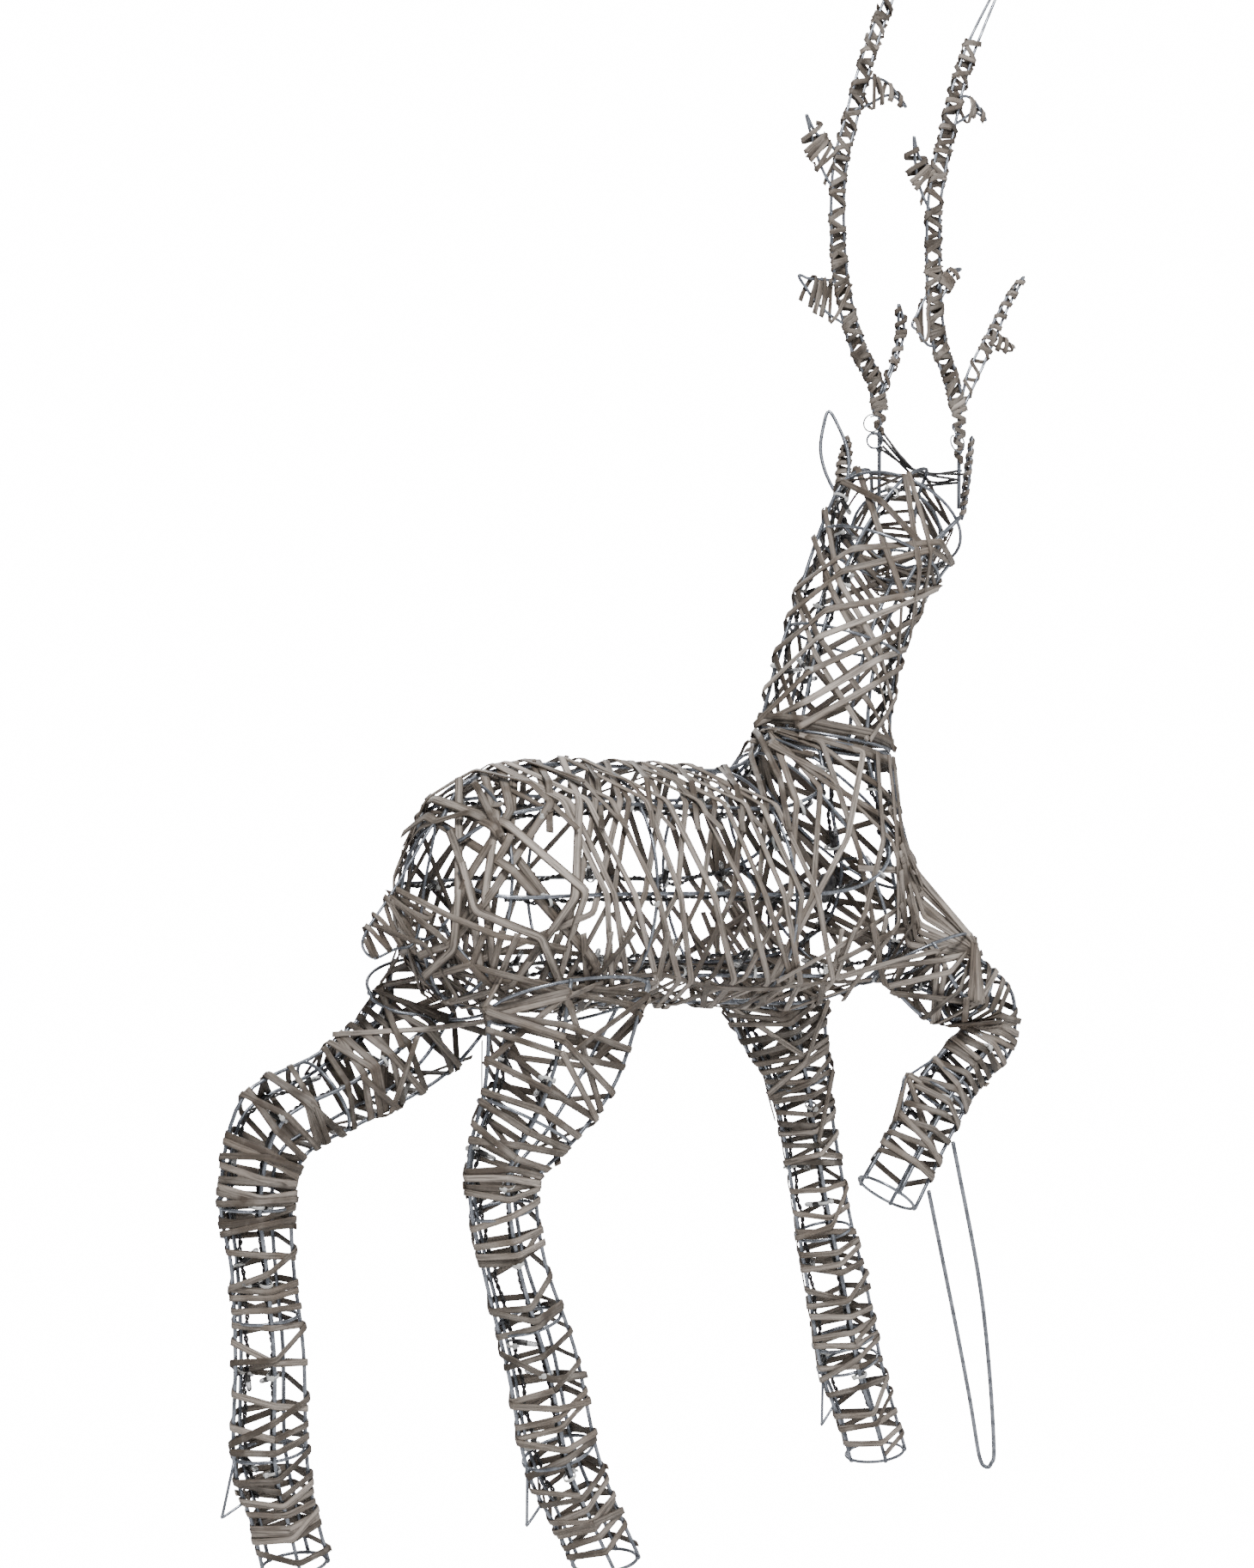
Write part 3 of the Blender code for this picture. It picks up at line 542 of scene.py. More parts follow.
def weather_group():
    """Blotches of dust and wear over a surface."""
    tree, s, given, out = group(
        "dust_and_wear",
        [("Scale", "NodeSocketFloat", 60.0), ("Amount", "NodeSocketFloat", 0.5)],
        [("Mask", "NodeSocketFloat"), ("Speckle", "NodeSocketFloat")])
    place = s.add("ShaderNodeTexCoord")
    large = s.add("ShaderNodeTexNoise", Detail=4.0)
    s.join(place.outputs["Object"], large.inputs["Vector"])
    s.join(given.outputs[0], large.inputs["Scale"])
    blotch = s.ramp(large.outputs["Fac"], [(0.42, (0, 0, 0, 1)), (0.62, (1, 1, 1, 1))])
    s.join(s.math("MULTIPLY", blotch, given.outputs[1], clamp=True), out.inputs["Mask"])
    small = s.noise(place.outputs["Object"], 900.0, 2.0)
    s.join(s.ramp(small, [(0.58, (0, 0, 0, 1)), (0.70, (1, 1, 1, 1))]), out.inputs["Speckle"])
    return tree


GRAIN = grain_group()
WEATHER = weather_group()


def finish(name, **plain):
    made = bpy.data.materials.new(name)
    made.use_nodes = True
    sheet = Sheet(made.node_tree)
    shader = made.node_tree.nodes["Principled BSDF"]
    for socket, value in plain.items():
        shader.inputs[socket.replace("_", " ")].default_value = value
    return made, sheet, shader


def placed(sheet, tree, **values):
    node = sheet.add("ShaderNodeGroup", node_tree=tree)
    for socket, value in values.items():
        node.inputs[socket.replace("_", " ")].default_value = value
    return node


def bump(sheet, shader, height, strength, distance):
    node = sheet.add("ShaderNodeBump", Strength=strength, Distance=distance)
    sheet.join(height, node.inputs["Height"])
    sheet.join(node.outputs["Normal"], shader.inputs["Normal"])


def roughened(sheet, shader, mask, span, least):
    """Roughness that grows over a span with a mask."""
    sheet.join(sheet.math("ADD", sheet.math("MULTIPLY", mask, span), least),
               shader.inputs["Roughness"])


def rattan_finish():
    made, s, shader = finish("rattan_strip", IOR=1.45)
    tone = s.attribute("tone").outputs["Fac"]
    place = s.attribute("lengthwise")
    grain = placed(s, GRAIN, Fineness=1.0, Waviness=0.5)
    s.join(place.outputs["Vector"], grain.inputs[0])
    worn = placed(s, WEATHER, Scale=38.0, Amount=1.0)
    base = s.ramp(tone, [(0.0, (0.030, 0.023, 0.016, 1)), (0.35, (0.078, 0.060, 0.046, 1)),
                         (0.65, (0.175, 0.143, 0.116, 1)), (1.0, (0.430, 0.377, 0.330, 1))])
    patchy = s.mix(s.math("MULTIPLY", worn.outputs["Mask"], 0.42), base,
                   (0.38, 0.342, 0.304, 1))
    split = s.add("ShaderNodeSeparateXYZ")
    s.join(place.outputs["Vector"], split.inputs[0])
    # The strips' inner faces, which look into the cage, are mixed towards dark brown: painted
    # shade.
    under = s.math("LESS_THAN", split.outputs["Z"], -0.0002)
    inner_face_shaded = s.mix(s.math("MULTIPLY", under, 0.50), patchy, (0.070, 0.053, 0.039, 1))
    # The strips grow darker towards their rounded edges: painted shade where the edges turn from
    # the light.
    edge_shade = s.math("MULTIPLY", s.math("POWER", s.math(
        "MULTIPLY", s.math("ABSOLUTE", split.outputs["Y"]), 2 / STRIP_WIDTH), 4.0), 0.70)
    edge_shaded = s.mix(edge_shade, inner_face_shaded, (0.075, 0.060, 0.047, 1))
    furrowed = s.mix(s.math("MULTIPLY", grain.outputs["Furrow"], 0.85), edge_shaded,
                     (0.040, 0.031, 0.024, 1))
    s.join(furrowed, shader.inputs["Base Color"])
    roughened(s, shader, grain.outputs["Height"], 0.35, 0.38)
    bump(s, shader, grain.outputs["Height"], 0.8, 0.0006)
    return made


def steel_finish():
    made, s, shader = finish("galvanised_wire", Metallic=0.80)
    spots = placed(s, WEATHER, Scale=110.0, Amount=1.0)
    clean = (0.215, 0.232, 0.265, 1)
    dulled = s.mix(s.math("MULTIPLY", spots.outputs["Mask"], 0.75), clean,
                   (0.080, 0.087, 0.100, 1))
    s.join(s.mix(s.math("MULTIPLY", spots.outputs["Speckle"], 0.5), dulled,
                 (0.50, 0.52, 0.56, 1)), shader.inputs["Base Color"])
    roughened(s, shader, spots.outputs["Mask"], 0.22, 0.27)
    bump(s, shader, spots.outputs["Speckle"], 0.25, 0.0002)
    return made


def dusty_plastic(name, size, amount, clean, dusty, roughness, rise, **plain):
    """A plastic with dust on it: its blotches' fineness and share, and how far they rise."""
    made, s, shader = finish(name, IOR=1.5, **plain)
    dust = placed(s, WEATHER, Scale=size, Amount=amount)
    s.join(s.mix(dust.outputs["Mask"], clean, dusty), shader.inputs["Base Color"])
    roughened(s, shader, dust.outputs["Mask"], 0.3, roughness)
    bump(s, shader, dust.outputs["Speckle"], rise, 0.0002)
    return made


def lamp_finish():
    made, s, shader = finish("clear_lamp", Base_Color=(0.93, 0.94, 0.95, 1), IOR=1.46,
                             Transmission_Weight=0.9, Metallic=0.0)
    dust = placed(s, WEATHER, Scale=300.0, Amount=1.0)
    roughened(s, shader, dust.outputs["Mask"], 0.12, 0.05)
    return made


# each finish with its slot in the frame
RATTAN = rattan_finish(), "rattan_strip"
STEEL = steel_finish(), "galvanised_wire"
BLACK = dusty_plastic("lamp_cable", 150.0, 0.6, (0.010, 0.010, 0.011, 1),
                      (0.045, 0.043, 0.042, 1), 0.32, 0.15), "lamp_cable"
NYLON = dusty_plastic("cable_tie", 220.0, 0.5, (0.62, 0.63, 0.62, 1), (0.42, 0.40, 0.37, 1),
                      0.30, 0.1, Transmission_Weight=0.15), "lamp_cable"
CLEAR = lamp_finish(), "lamp_cable"


# ---- strips ------------------------------------------------------------------------------
def lay(skin, folds, outs, rng, tone, width=STRIP_WIDTH):
    """Lays a strip straight from fold to fold and bends it round each; outs are the ways
    its face looks there."""
    folds, outs = np.array(folds), np.array(outs)
    step = np.diff(folds, axis=0)
    length = np.linalg.norm(step, axis=1)
    along = step / length[:, None]
    face = flattened(outs[:-1] + outs[1:], along)
    turn = np.radians(rng.normal(0.0, STRIP_TWIST, len(along)))[:, None]
    turned = face * np.cos(turn) + np.cross(along, face) * np.sin(turn)
    path, normals, tones = [folds[0]], [face[0]], [tone]
    last = len(along) - 1
    for i in range(len(along)):
        reach = min(BEND, length[i] * 0.4)
        bow = turned[i] * rng.normal(0.0, BOW_SPREAD)
        shade = tone + rng.normal(0.0, TONE_SPREAD)
        start = folds[i] + along[i] * reach
        end = folds[i + 1] - along[i] * reach
        if i > 0:
            path.append(path[-1] * 0.25 + folds[i] * 0.5 + start * 0.25)
            normals.append(unit(face[i - 1] + face[i]))
            tones.append(tone)
        path += [start, (start + end) / 2 + bow, end]
        normals += [face[i] * 0.5 + turned[i] * 0.5, turned[i], face[i] * 0.5 + turned[i] * 0.5]
        tones += [shade] * 3
    path.append(folds[last + 1])
    normals.append(face[last])
    tones.append(tone)
    size = width * (1 + rng.normal(0.0, WIDTH_SPREAD))
    skin.sweep(path, normals, strip_profile(size, STRIP_THICK), tone=np.clip(tones, 0, 1))


class Weaving:
    """The strips of one piece, with the cage they go round and their own random draws."""

    def __init__(self, cage, seed, gap=WIRE_GAP):
        self.tube, self.skin = TUBES[cage], Skin()
        self.rng = np.random.default_rng(seed)
        self.base = RAIL + STRIP_THICK / 2 + gap

    def strip(self, route, layers, dark, pale, width=STRIP_WIDTH):
        """Lays a strip whose tone lies between a dark and a pale one."""
        self.plain(route, layers, self.rng.uniform(dark, pale), width)

    def plain(self, route, layers, tone, width=STRIP_WIDTH):
        """Lays a strip over the cage's wires, some layers out.  A route is the strip's
        (section, angle) at each wire it crosses."""
        u, angle = np.array(route, float).T
        lifts = self.base + LAYER * layers + self.rng.normal(0.0, LIFT_SPREAD, len(u))
        lay(self.skin, self.tube.point(u, angle, lifts), self.tube.outward(u, angle), self.rng,
            tone, width)

    def spanning(self, route, layers, dark, pale, outs=None):
        """Lays a strip from one cage to another: the route is (cage, section, angle), and outs
        are the ways its face looks there, where they aren't the cages' own."""
        tone = self.rng.uniform(dark, pale)
        lift = self.base + LAYER * layers
        folds = [TUBES[cage].point(u, angle, lift) for cage, u, angle in route]
        outs = outs or [TUBES[cage].outward(u, angle) for cage, u, angle in route]
        lay(self.skin, folds, outs, self.rng, tone)

    def wound(self, start, at, hand, turns, lean, low, high, jitter=0.15):
        """The route of a strip wound round the cage.  It starts at a section and at the wire
        numbered at, and gains lean metres along the cage in a turn."""
        route = []
        u = start
        for k in range(int(round(turns * self.tube.rails)) + 1):
            route.append((min(max(u, low), high), self.tube.rail(at + hand * k)))
            gain = lean / self.tube.rails * (1 + self.rng.normal(0.0, jitter))
            u += gain / max(self.tube.pace(u), 0.02)
            if (u > high + 0.05 and lean > 0) or (u < low - 0.05 and lean < 0):
                break
        return route


def wrap(skin, one, other, pitch, rng, tone, width=NARROW_STRIP, hand=1):
    """Winds a strip round two wires that run side by side, with gaps between its turns."""
    middle = (one + other) / 2
    length = lengths(middle)
    spots = np.linspace(0, length[-1], int(length[-1] / pitch * TURN_STEPS) + TURN_STEPS)
    turn = 2 * np.pi * hand * spots / pitch + 0.5 * np.cumsum(rng.normal(0, 0.15, len(spots)))
    middle, one, other = (resampled(line, length, spots) for line in (middle, one, other))
    run = tangents(middle)
    across = flattened(one - other, run)
    out = np.cross(run, across)
    half = np.linalg.norm(one - other, axis=1) / 2 + ROD + STRIP_THICK / 2
    half = (half * (1 + rng.normal(0, 0.06, len(spots))))[:, None]
    deep = ROD + STRIP_THICK * rng.uniform(0.8, 1.2)
    cos, sin = np.cos(turn)[:, None], np.sin(turn)[:, None]
    path = middle + across * half * cos + out * deep * sin
    normals = across * cos * deep + out * sin * half
    shade = tone + np.interp(spots / pitch, np.arange(int(spots[-1] / pitch) + 2),
                             rng.normal(0, 0.16, int(spots[-1] / pitch) + 2))
    skin.sweep(path, normals, strip_profile(width, STRIP_THICK), tone=np.clip(shade, 0, 1))


# ---- the body's strips -------------------------------------------------------------------
# Where strips on the right side cross its upper, middle and low wires, in metres along X.
FALLING = [              # towards the chest
    (-0.168, -0.146, -0.112), (-0.150, -0.130, -0.084), (-0.127, -0.104, -0.060),
    (-0.100, -0.080, -0.046), (-0.074, -0.048, -0.004), (-0.044, -0.014, 0.036),
    (-0.014, 0.010, 0.052), (0.008, 0.028, 0.076), (0.042, 0.066, 0.106),
    (-0.176, -0.158, -0.132), (0.026, 0.046, 0.062),
]
RISING = [(x, x - 0.036, x - 0.058)      # towards it
          for x in (-0.142, -0.112, -0.082, -0.052, -0.022, 0.008, 0.038, 0.066, 0.092)]
RUMP = [                 # (section, angle) of strips that cross the haunch
    [(1.0, 405), (0.45, 372), (1.0, 307), (1.8, 272), (1.75, 225), (1.5, 180)],
    [(0.6, 420), (0.1, 375), (1.0, 283), (2.05, 237), (2.3, 180)],
    [(1.0, 400), (0.8, 308), (2.0, 240), (2.2, 190)],
    [(0.9, 362), (0.1, 262), (0.4, 225), (0.5, 180)],
    [(1.6, 410), (1.25, 360), (0.9, 315), (0.6, 268), (1.1, 225), (1.3, 135)],
    [(1.9, 360), (1.6, 315), (0.7, 270), (0.3, 225), (0.2, 180)],
    [(1.5, 360), (1.1, 315), (0.2, 275), (0.1, 240)],
    [(0.1, 290), (0.5, 258), (1.4, 252), (1.8, 225), (2.2, 190)],
    [(0.0, 330), (0.3, 270), (0.9, 225), (1.5, 180)],
    [(0.5, 190), (0.7, 225), (1.9, 262), (2.3, 315), (2.6, 360)],
    [(0.2, 180), (0.3, 225), (1.0, 300), (1.7, 360), (2.0, 400)],
    [(0.9, 190), (1.3, 225), (1.7, 270), (1.9, 315), (2.2, 360)],
]
SHOULDER = [             # strips over the shoulder, between the collar and the low wire
    [(8.7, 330), (8.8, 276), (5.2, 291), (4.2, 268), (3.9, 225), (3.7, 180)],
    [(8.9, 262), (6.2, 278), (5.0, 258), (4.5, 225), (4.2, 180)],
    [(8.9, 248), (6.9, 265), (5.6, 246), (4.9, 218), (4.6, 180)],
    [(8.9, 240), (7.2, 258), (5.9, 240), (5.3, 215)],
    [(8.6, 400), (8.4, 350), (8.1, 310), (7.9, 268), (8.0, 225), (8.1, 180)],
    [(7.2, 400), (6.4, 350), (5.9, 313), (7.1, 272), (7.3, 225), (7.4, 180)],
    [(5.1, 278), (6.9, 240), (7.0, 200)],
    [(3.9, 225), (4.4, 242), (6.7, 232), (6.9, 190)],
    [(4.6, 236), (5.5, 243), (6.2, 225), (6.3, 190)],
    [(8.6, 350), (8.5, 312), (5.3, 284), (5.2, 240), (5.0, 200)],
    [(6.0, 350), (6.2, 315), (6.5, 272), (6.1, 232), (5.7, 200)],
]
ROOTS = {                # where each leg's strips start on the body: sections and wires
    "right_hind_leg": (0.7, 2.6, 225.0), "left_hind_leg": (0.2, 2.0, 135.0),
    "left_fore_leg": (3.4, 5.6, 135.0), "right_fore_leg": (4.6, 6.9, 225.0),
}


def body_section(x, angle):
    """The section of the body's cage where the wire at an angle passes x."""
    u = np.linspace(0.0, 9.0, 181)
    at = TUBES["body"].point(u, angle)[:, 0] - PLACE[0]
    top = int(np.argmax(at)) + 1
    return float(np.interp(x, at[:top], u[:top]))


def over_the_back(crossings, rng):
    """The route of a strip from under the belly up the right side, over the back and down
    the left."""
    upper, middle, low = crossings
    step = max(min((low - upper) * 0.5, 0.034), -0.034) * rng.uniform(0.8, 1.2)
    places = [(low + 1.9 * step, 135), (low + 0.9 * step, 180), (low, 225), (middle, 270),
              (upper, 315), (upper - 1.2 * step, 360), (upper - 2.4 * step, 405),
              (upper - 4.0 * step, 450), (upper - 5.4 * step, 495), (upper - 6.2 * step, 540)]
    return [(body_section(x + rng.normal(0, 0.0025), angle), angle) for x, angle in places]


# short strips across the back and under the belly: how many, the first one's x, from one to
# the next, their lean, the angle they start at and its step, and how many wires they cross
SHORT_STRIPS = [(12, -0.22, 0.024, 0.021, 300, 30, 5), (10, -0.19, 0.032, 0.030, 225, -30, 4)]


def body_strips():
    web = Weaving("body", 11)
    rng = web.rng
    for k, crossings in enumerate(FALLING):
        web.strip(over_the_back(crossings, rng), 2 + 0.5 * (k % 2), 0.60, 1.0)
    for k, crossings in enumerate(RISING):
        web.strip(over_the_back(crossings, rng), 0.6 * (k % 3), 0.20, 0.80)
    crossing = [(route, WIDE_STRIP, 0.5) for route in RUMP]
    crossing += [(route, STRIP_WIDTH, 0.3) for route in SHOULDER]
    for k, (route, width, darkest) in enumerate(crossing):
        layers = 3.2 if k < 3 else 0.4 + 0.7 * (k % 4)
        web.strip(route, layers, darkest, 0.95, width)
        if k % 3:                             # the left side has its like
            other = [(u + rng.normal(0, 0.08), -angle + rng.normal(0, 4)) for u, angle in route]
            other = [(min(max(u, 0.9), 9.0), angle) for u, angle in other]
            # Its strips get darker tones than the right side's: painted shade on the left side.
            web.strip(other, layers, 0.1, 0.7)
    for many, x, apart, lean, angle, turn, wires in SHORT_STRIPS:
        for k in range(many):
            way = lean if k % 2 else -lean
            route = [(body_section(x + apart * k + way * n, angle + turn * n), angle + turn * n)
                     for n in range(wires)]
            web.strip(route, k % 3, 0.1, 0.5)
    for k in range(2):                        # strips gathered along the low wires
        side = 225 if k % 2 else 135
        route = [(u, side + rng.uniform(-9, 6)) for u in np.linspace(1.4, 5.2, 7)]
        web.strip(route, k * 0.5, 0.2, 0.6)
    for k in range(2):                        # bands round the collar
        route = web.wound(8.95 - 0.12 * k, 2 * k, 1 if k % 2 else -1, 1.0, -0.006, 8.4, 9.0)
        web.strip(route, k % 3, 0.1, 0.5)
    for name, (low, high, wire) in ROOTS.items():
        side = LEGS[name][1]
        for k in range(9):                    # strips that tie each leg to the body
            u = low + (high - low) * (k + rng.uniform(-0.3, 0.3)) / 8
            rail = (252.0, 324.0, 180.0)[k % 3] if side < 0 else (108.0, 36.0, 180.0)[k % 3]
            route = [("body", u, wire + side * -28), ("body", u + rng.normal(0, 0.15), wire),
                     (name, rng.uniform(0.1, 0.5), rail),
                     (name, rng.uniform(0.8, 1.7), rail + 72 * (1 if k % 2 else -1))]
            web.spanning(route, k % 3, 0.2, 0.95)
    for k in range(10):                       # from the chest to the raised leg
        reach = k / 9
        route = [("body", 7.6 - 1.4 * reach, 262.0), ("body", 7.1 - 1.3 * reach, 228.0),
                 ("right_fore_leg", 0.2 + 0.8 * reach, 305.0),
                 ("right_fore_leg", 1.2 + 0.8 * reach, 252.0 if k % 2 else 350.0)]
        outs = [web.tube.outward(route[0][1], 262.0)] + [np.array((-0.3, -1.0, 0.2))] * 3
        web.spanning(route, k % 3, 0.3, 0.95, outs)
    for k in range(12):                       # over the chest's front and the left shoulder
        way = 0.45 if k % 2 else -0.45
        route = [(min(max(5.7 + 0.27 * k + way * n, 5.0), 9.0), 205 - 38 * n) for n in range(5)]
        web.strip(route, k % 3, 0.1, 0.8)
    return web.skin


# ---- the neck's, head's and legs' strips -------------------------------------------------
def neck_strips():
    web = Weaving("neck", 23, 0.0010)
    for k in range(8):                        # the flatter way up
        route = web.wound(-0.35 * (k // 6), k, -1, 1.8, 0.27, 0.02, 6.2 if k % 4 else 4.2)
        web.strip(route, 1.5 + 0.5 * (k % 2), 0.45, 0.95)
    for k in range(10):                       # and the steep way
        route = web.wound(-0.45 * (k // 6), k, 1, 1.6, 0.37, 0.02, 6.2 if k % 3 else 4.0)
        web.strip(route, 0.8 * (k % 2), 0.2, 0.9)
    for k in range(3):                        # over the poll and the brow
        route = web.wound(4.0 + 0.4 * k, k, 1 if k % 2 else -1, 0.7, 0.09 if k % 3 else -0.09,
                          2.8, 6.2)
        web.strip(route, k % 3, 0.2, 0.8)
    for k in range(2):                        # bands at the collar
        web.strip(web.wound(0.05 + 0.07 * k, 2 * k, 1, 1.0, 0.004, 0.0, 0.4), k % 3, 0.1, 0.5)
    return web.skin


def muzzle_strips():
    web = Weaving("neck", 31)
    for k in range(8):
        route = web.wound(5.4 + 0.33 * k, k, 1 if k % 2 else -1, 1.3, 0.035, 5.0, 7.95)
        web.strip(route, k % 3, 0.3, 0.8)
    web.base = WEBBING_LIFT
    for k in range(4):                        # webbing over the nose
        a, b = 30 + 60 * k, 250 + 60 * k
        web.plain([(7.9, a), (8.0, a + 10), (8.0, b), (7.9, b + 10)], k, 0.35)
    return web.skin


LEG_BANDS = {            # stretches of each leg's winding: from section, to section, pitch
    "right_hind_leg": [(0.15, 3.0, 0.026), (3.0, 3.8, 0.018), (3.8, 7.4, 0.026),
                       (7.4, 8.7, 0.020)],
    "left_hind_leg": [(0.2, 2.6, 0.022), (2.6, 4.4, 0.012), (4.4, 7.4, 0.023),
                      (7.4, 8.7, 0.016)],
    "left_fore_leg": [(0.2, 2.6, 0.018), (2.6, 5.4, 0.022), (5.4, 7.7, 0.019)],
    "right_fore_leg": [(0.2, 3.4, 0.015), (3.4, 5.0, 0.012), (5.0, 7.5, 0.015)],
}
THIGH_STRIPS = 4         # long strips that run slanting over the top of a leg


def leg_strips(name, seed):
    web = Weaving(name, seed)
    tube, rng = web.tube, web.rng
    side = LEGS[name][1]
    for layer, (hand, share) in enumerate(((side, 1.0), (-side, 1.9))):
        for low, high, pitch in LEG_BANDS[name]:
            u = low
            at = int(rng.integers(tube.rails))
            while u < high - 0.05:
                turns = rng.uniform(1.6, 3.4)
                lean = pitch * share * (1 + rng.normal(0, 0.2))
                route = web.wound(u, at, hand, turns, max(lean, 0.006), low - 0.1, high + 0.1,
                                  jitter=1.0)
                if len(route) > 2:
                    web.strip(route, layer + rng.uniform(0, 0.5), 0.05, 0.90)
                at = (at + hand * (len(route) - 1)) % tube.rails
                u = max(route[-1][0], u + 0.05)
    for k in range(THIGH_STRIPS):
        route = web.wound(rng.uniform(0.1, 1.4), int(rng.integers(tube.rails)),
                          1 if k % 2 else -1, 0.4, rng.uniform(0.14, 0.24), 0.05, 3.2)
        web.strip(route, 2, 0.3, 0.9)
    if name == "right_fore_leg":              # over the raised leg's spur
        knee = spur_line(name)[2] + (0, 0, 0.003)
        for u, angle in ((5.9, 324.0), (6.6, 36.0), (7.1, 324.0)):
            folds = [tube.point(u, angle, web.base), knee, tube.point(6.9, 180.0, web.base)]
            outs = [tube.outward(u, angle), tube.outward(6.0, 180.0), tube.outward(6.9, 180.0)]
            lay(web.skin, folds, outs, rng, rng.uniform(0.4, 0.9))
    return web.skin


# ---- wires -------------------------------------------------------------------------------
def bead(skin, place, radius):
    """A drop of weld."""
    skin.turned(place - np.array((0, 0, radius)), (0, 0, 1),
                [(0.1 * radius, 0.45 * radius), (0.5 * radius, 0.85 * radius),
                 (radius, radius), (1.5 * radius, 0.85 * radius), (1.9 * radius, 0.45 * radius)],
                sides=7, tone=0.3)


def cage_wires(tube, hoops):
    """Lengthwise wires, hoops inside them, and a weld where they cross."""
    skin = Skin()
    u = np.linspace(0.0, tube.last, tube.last * 6 + 1)
    for k in range(tube.rails):
        skin.wire(tube.point(u, tube.rail(k)), RAIL)
    turn = np.arange(48) * 360.0 / 48
    for place in hoops:
        skin.wire(tube.point(place, turn, -RAIL), HOOP, closed=True)
        for k in range(tube.rails):
            bead(skin, tube.point(place, tube.rail(k), -RAIL / 2), WELD)
    return skin


def spur_line(name):
    tube = TUBES[name]
    upper, lower = SPURS[name]
    start = tube.point(upper, 180.0)
    run = unit(start - tube.point(upper - 1.0, 180.0))
    out = unit(start - tube.at(upper)[0])
    end = tube.point(lower, 180.0)
    knee = start + run * SPUR_LENGTH + out * 0.010
    turn = knee + (end - knee) * 0.12 + out * 0.002 + run * 0.003
    return np.array([start, knee - (knee - start) * 0.1, knee, turn, end])


def leg_wires(name):
    tube = TUBES[name]
    skin = cage_wires(tube, (0.0, 2.2, 4.2, 5.6, tube.last - 2.0, tube.last))
    skin.wire(smooth(spur_line(name), 4), ROD)
    return skin


def hairpin(name):
    """A beam's wire: up one side, over the tip and down the other."""
    y, beam, _ = ANTLERS[name]
    line = smooth([(x, y, z) for x, z in beam], 4) + PLACE
    run = tangents(line)
    out = np.stack((run[:, 2], np.zeros(len(run)), -run[:, 0]), 1)
    share = np.linspace(0, 1, len(line))[:, None]
    spread = BEAM_SPREAD[0] + (BEAM_SPREAD[1] - BEAM_SPREAD[0]) * share ** 4
    tip = line[-1:] + run[-1:] * 0.006
    return np.concatenate((line + out * spread, tip, (line - out * spread)[::-1])), line


def tine_line(name, tine):
    """A tine's wire: open where it joins the beam, its two sides drawn together outside."""
    y = ANTLERS[name][0]
    line = smooth([(x, y, z) for x, z in tine], 8) + PLACE
    half = len(line) // 2
    one, other = line[:half + 1], line[:half - 1:-1]
    count = min(len(one), len(other))
    one, other = one[:count], other[:count]
    share = np.linspace(0, 1, count)[:, None]
    close = 0.55 * np.clip(share * 2.2 - 0.5, 0, 1)
    middle = (one + other) / 2
    return one + (middle - one) * close, other + (middle - other) * close


def antler_wires(name):
    skin = Skin()
    loop, line = hairpin(name)
    skin.wire(loop, ROD * 1.1, closed=True)
    for tine in ANTLERS[name][2]:
        one, other = tine_line(name, tine)
        skin.wire(np.concatenate((one, other[::-1][1:])), TINE)
    skin.wire(np.linspace(line[0] + (0, 0, 0.01), line[0] - (0, 0, PIN_LENGTH), 4), PIN)
    for place in (0, 1, 3):
        bead(skin, line[0] - (0, 0, 0.012 * place), FOOT_WELD)
    return skin


def knots(skin, one, other, rng, least, most, tone):
    """Short tight windings round two wires, with the wires bare between them."""
    start = 0
    while start < len(one) - 6:
        end = min(start + int(rng.integers(3, 6)), len(one) - 1)
        wrap(skin, one[start:end], other[start:end], rng.uniform(0.007, 0.010), rng,
             width=rng.uniform(0.0042, 0.0056), tone=tone + rng.uniform(-0.3, 0.25))
        start = end + int(rng.integers(least, most))


def antler_strips(name, seed):
    skin = Skin()
    rng = np.random.default_rng(seed)
    loop, line = hairpin(name)
    left = name == "left_antler"
    bare = 3 if left else 5
    one, other = evened_pair(loop[:len(line) - bare], loop[:-len(line) - 1 + bare:-1])
    for hand, pitch, tone in ((1, 0.032, 0.35), (-1, 0.024, 0.15)):
        wrap(skin, one, other, pitch, rng, width=0.0050, hand=hand, tone=tone)
    knots(skin, one, other, rng, 3, 8, 0.45)
    low = len(one) * 2 // 5                   # the foot of the beam is wound closer
    wrap(skin, one[:low], other[:low], 0.016, rng, width=0.0048, tone=0.15)
    for hand in (1, -1):                      # down to the pin
        stem = np.linspace(line[0] + (0, 0, 0.004), line[0] - (0, 0, 0.022 if left else 0.046), 8)
        apart = np.linspace(0.0065, 0.0022, 8)[:, None] * (1.0, 0.0, 0.0)
        wrap(skin, stem + apart, stem - apart, 0.012, rng, hand=hand, tone=0.3)
    for tine in ANTLERS[name][2]:
        one, other = evened_pair(*tine_line(name, tine))
        first = len(one) * 2 // 5
        wrap(skin, one[first:], other[first:], 0.0125, rng, rng.uniform(0.2, 0.5))
        knots(skin, one[-9:], other[-9:], rng, 1, 3, 0.45)
        wrap(skin, one[1:first + 3], other[1:first + 3], 0.020, rng, width=0.0038, hand=-1,
             tone=0.35)
    if not left:                              # a barb on the forward tine
        barb = smooth([(0.331, -0.022, 1.058), (0.343, -0.022, 1.050), (0.356, -0.022, 1.041),
                       (0.346, -0.022, 1.040), (0.327, -0.022, 1.046)], 4) + PLACE
        skin.wire(barb, ROD, tone=0.2)
        wrap(skin, barb[:8], barb[:-9:-1], 0.009, rng, width=0.0050, tone=0.45)
    return skin


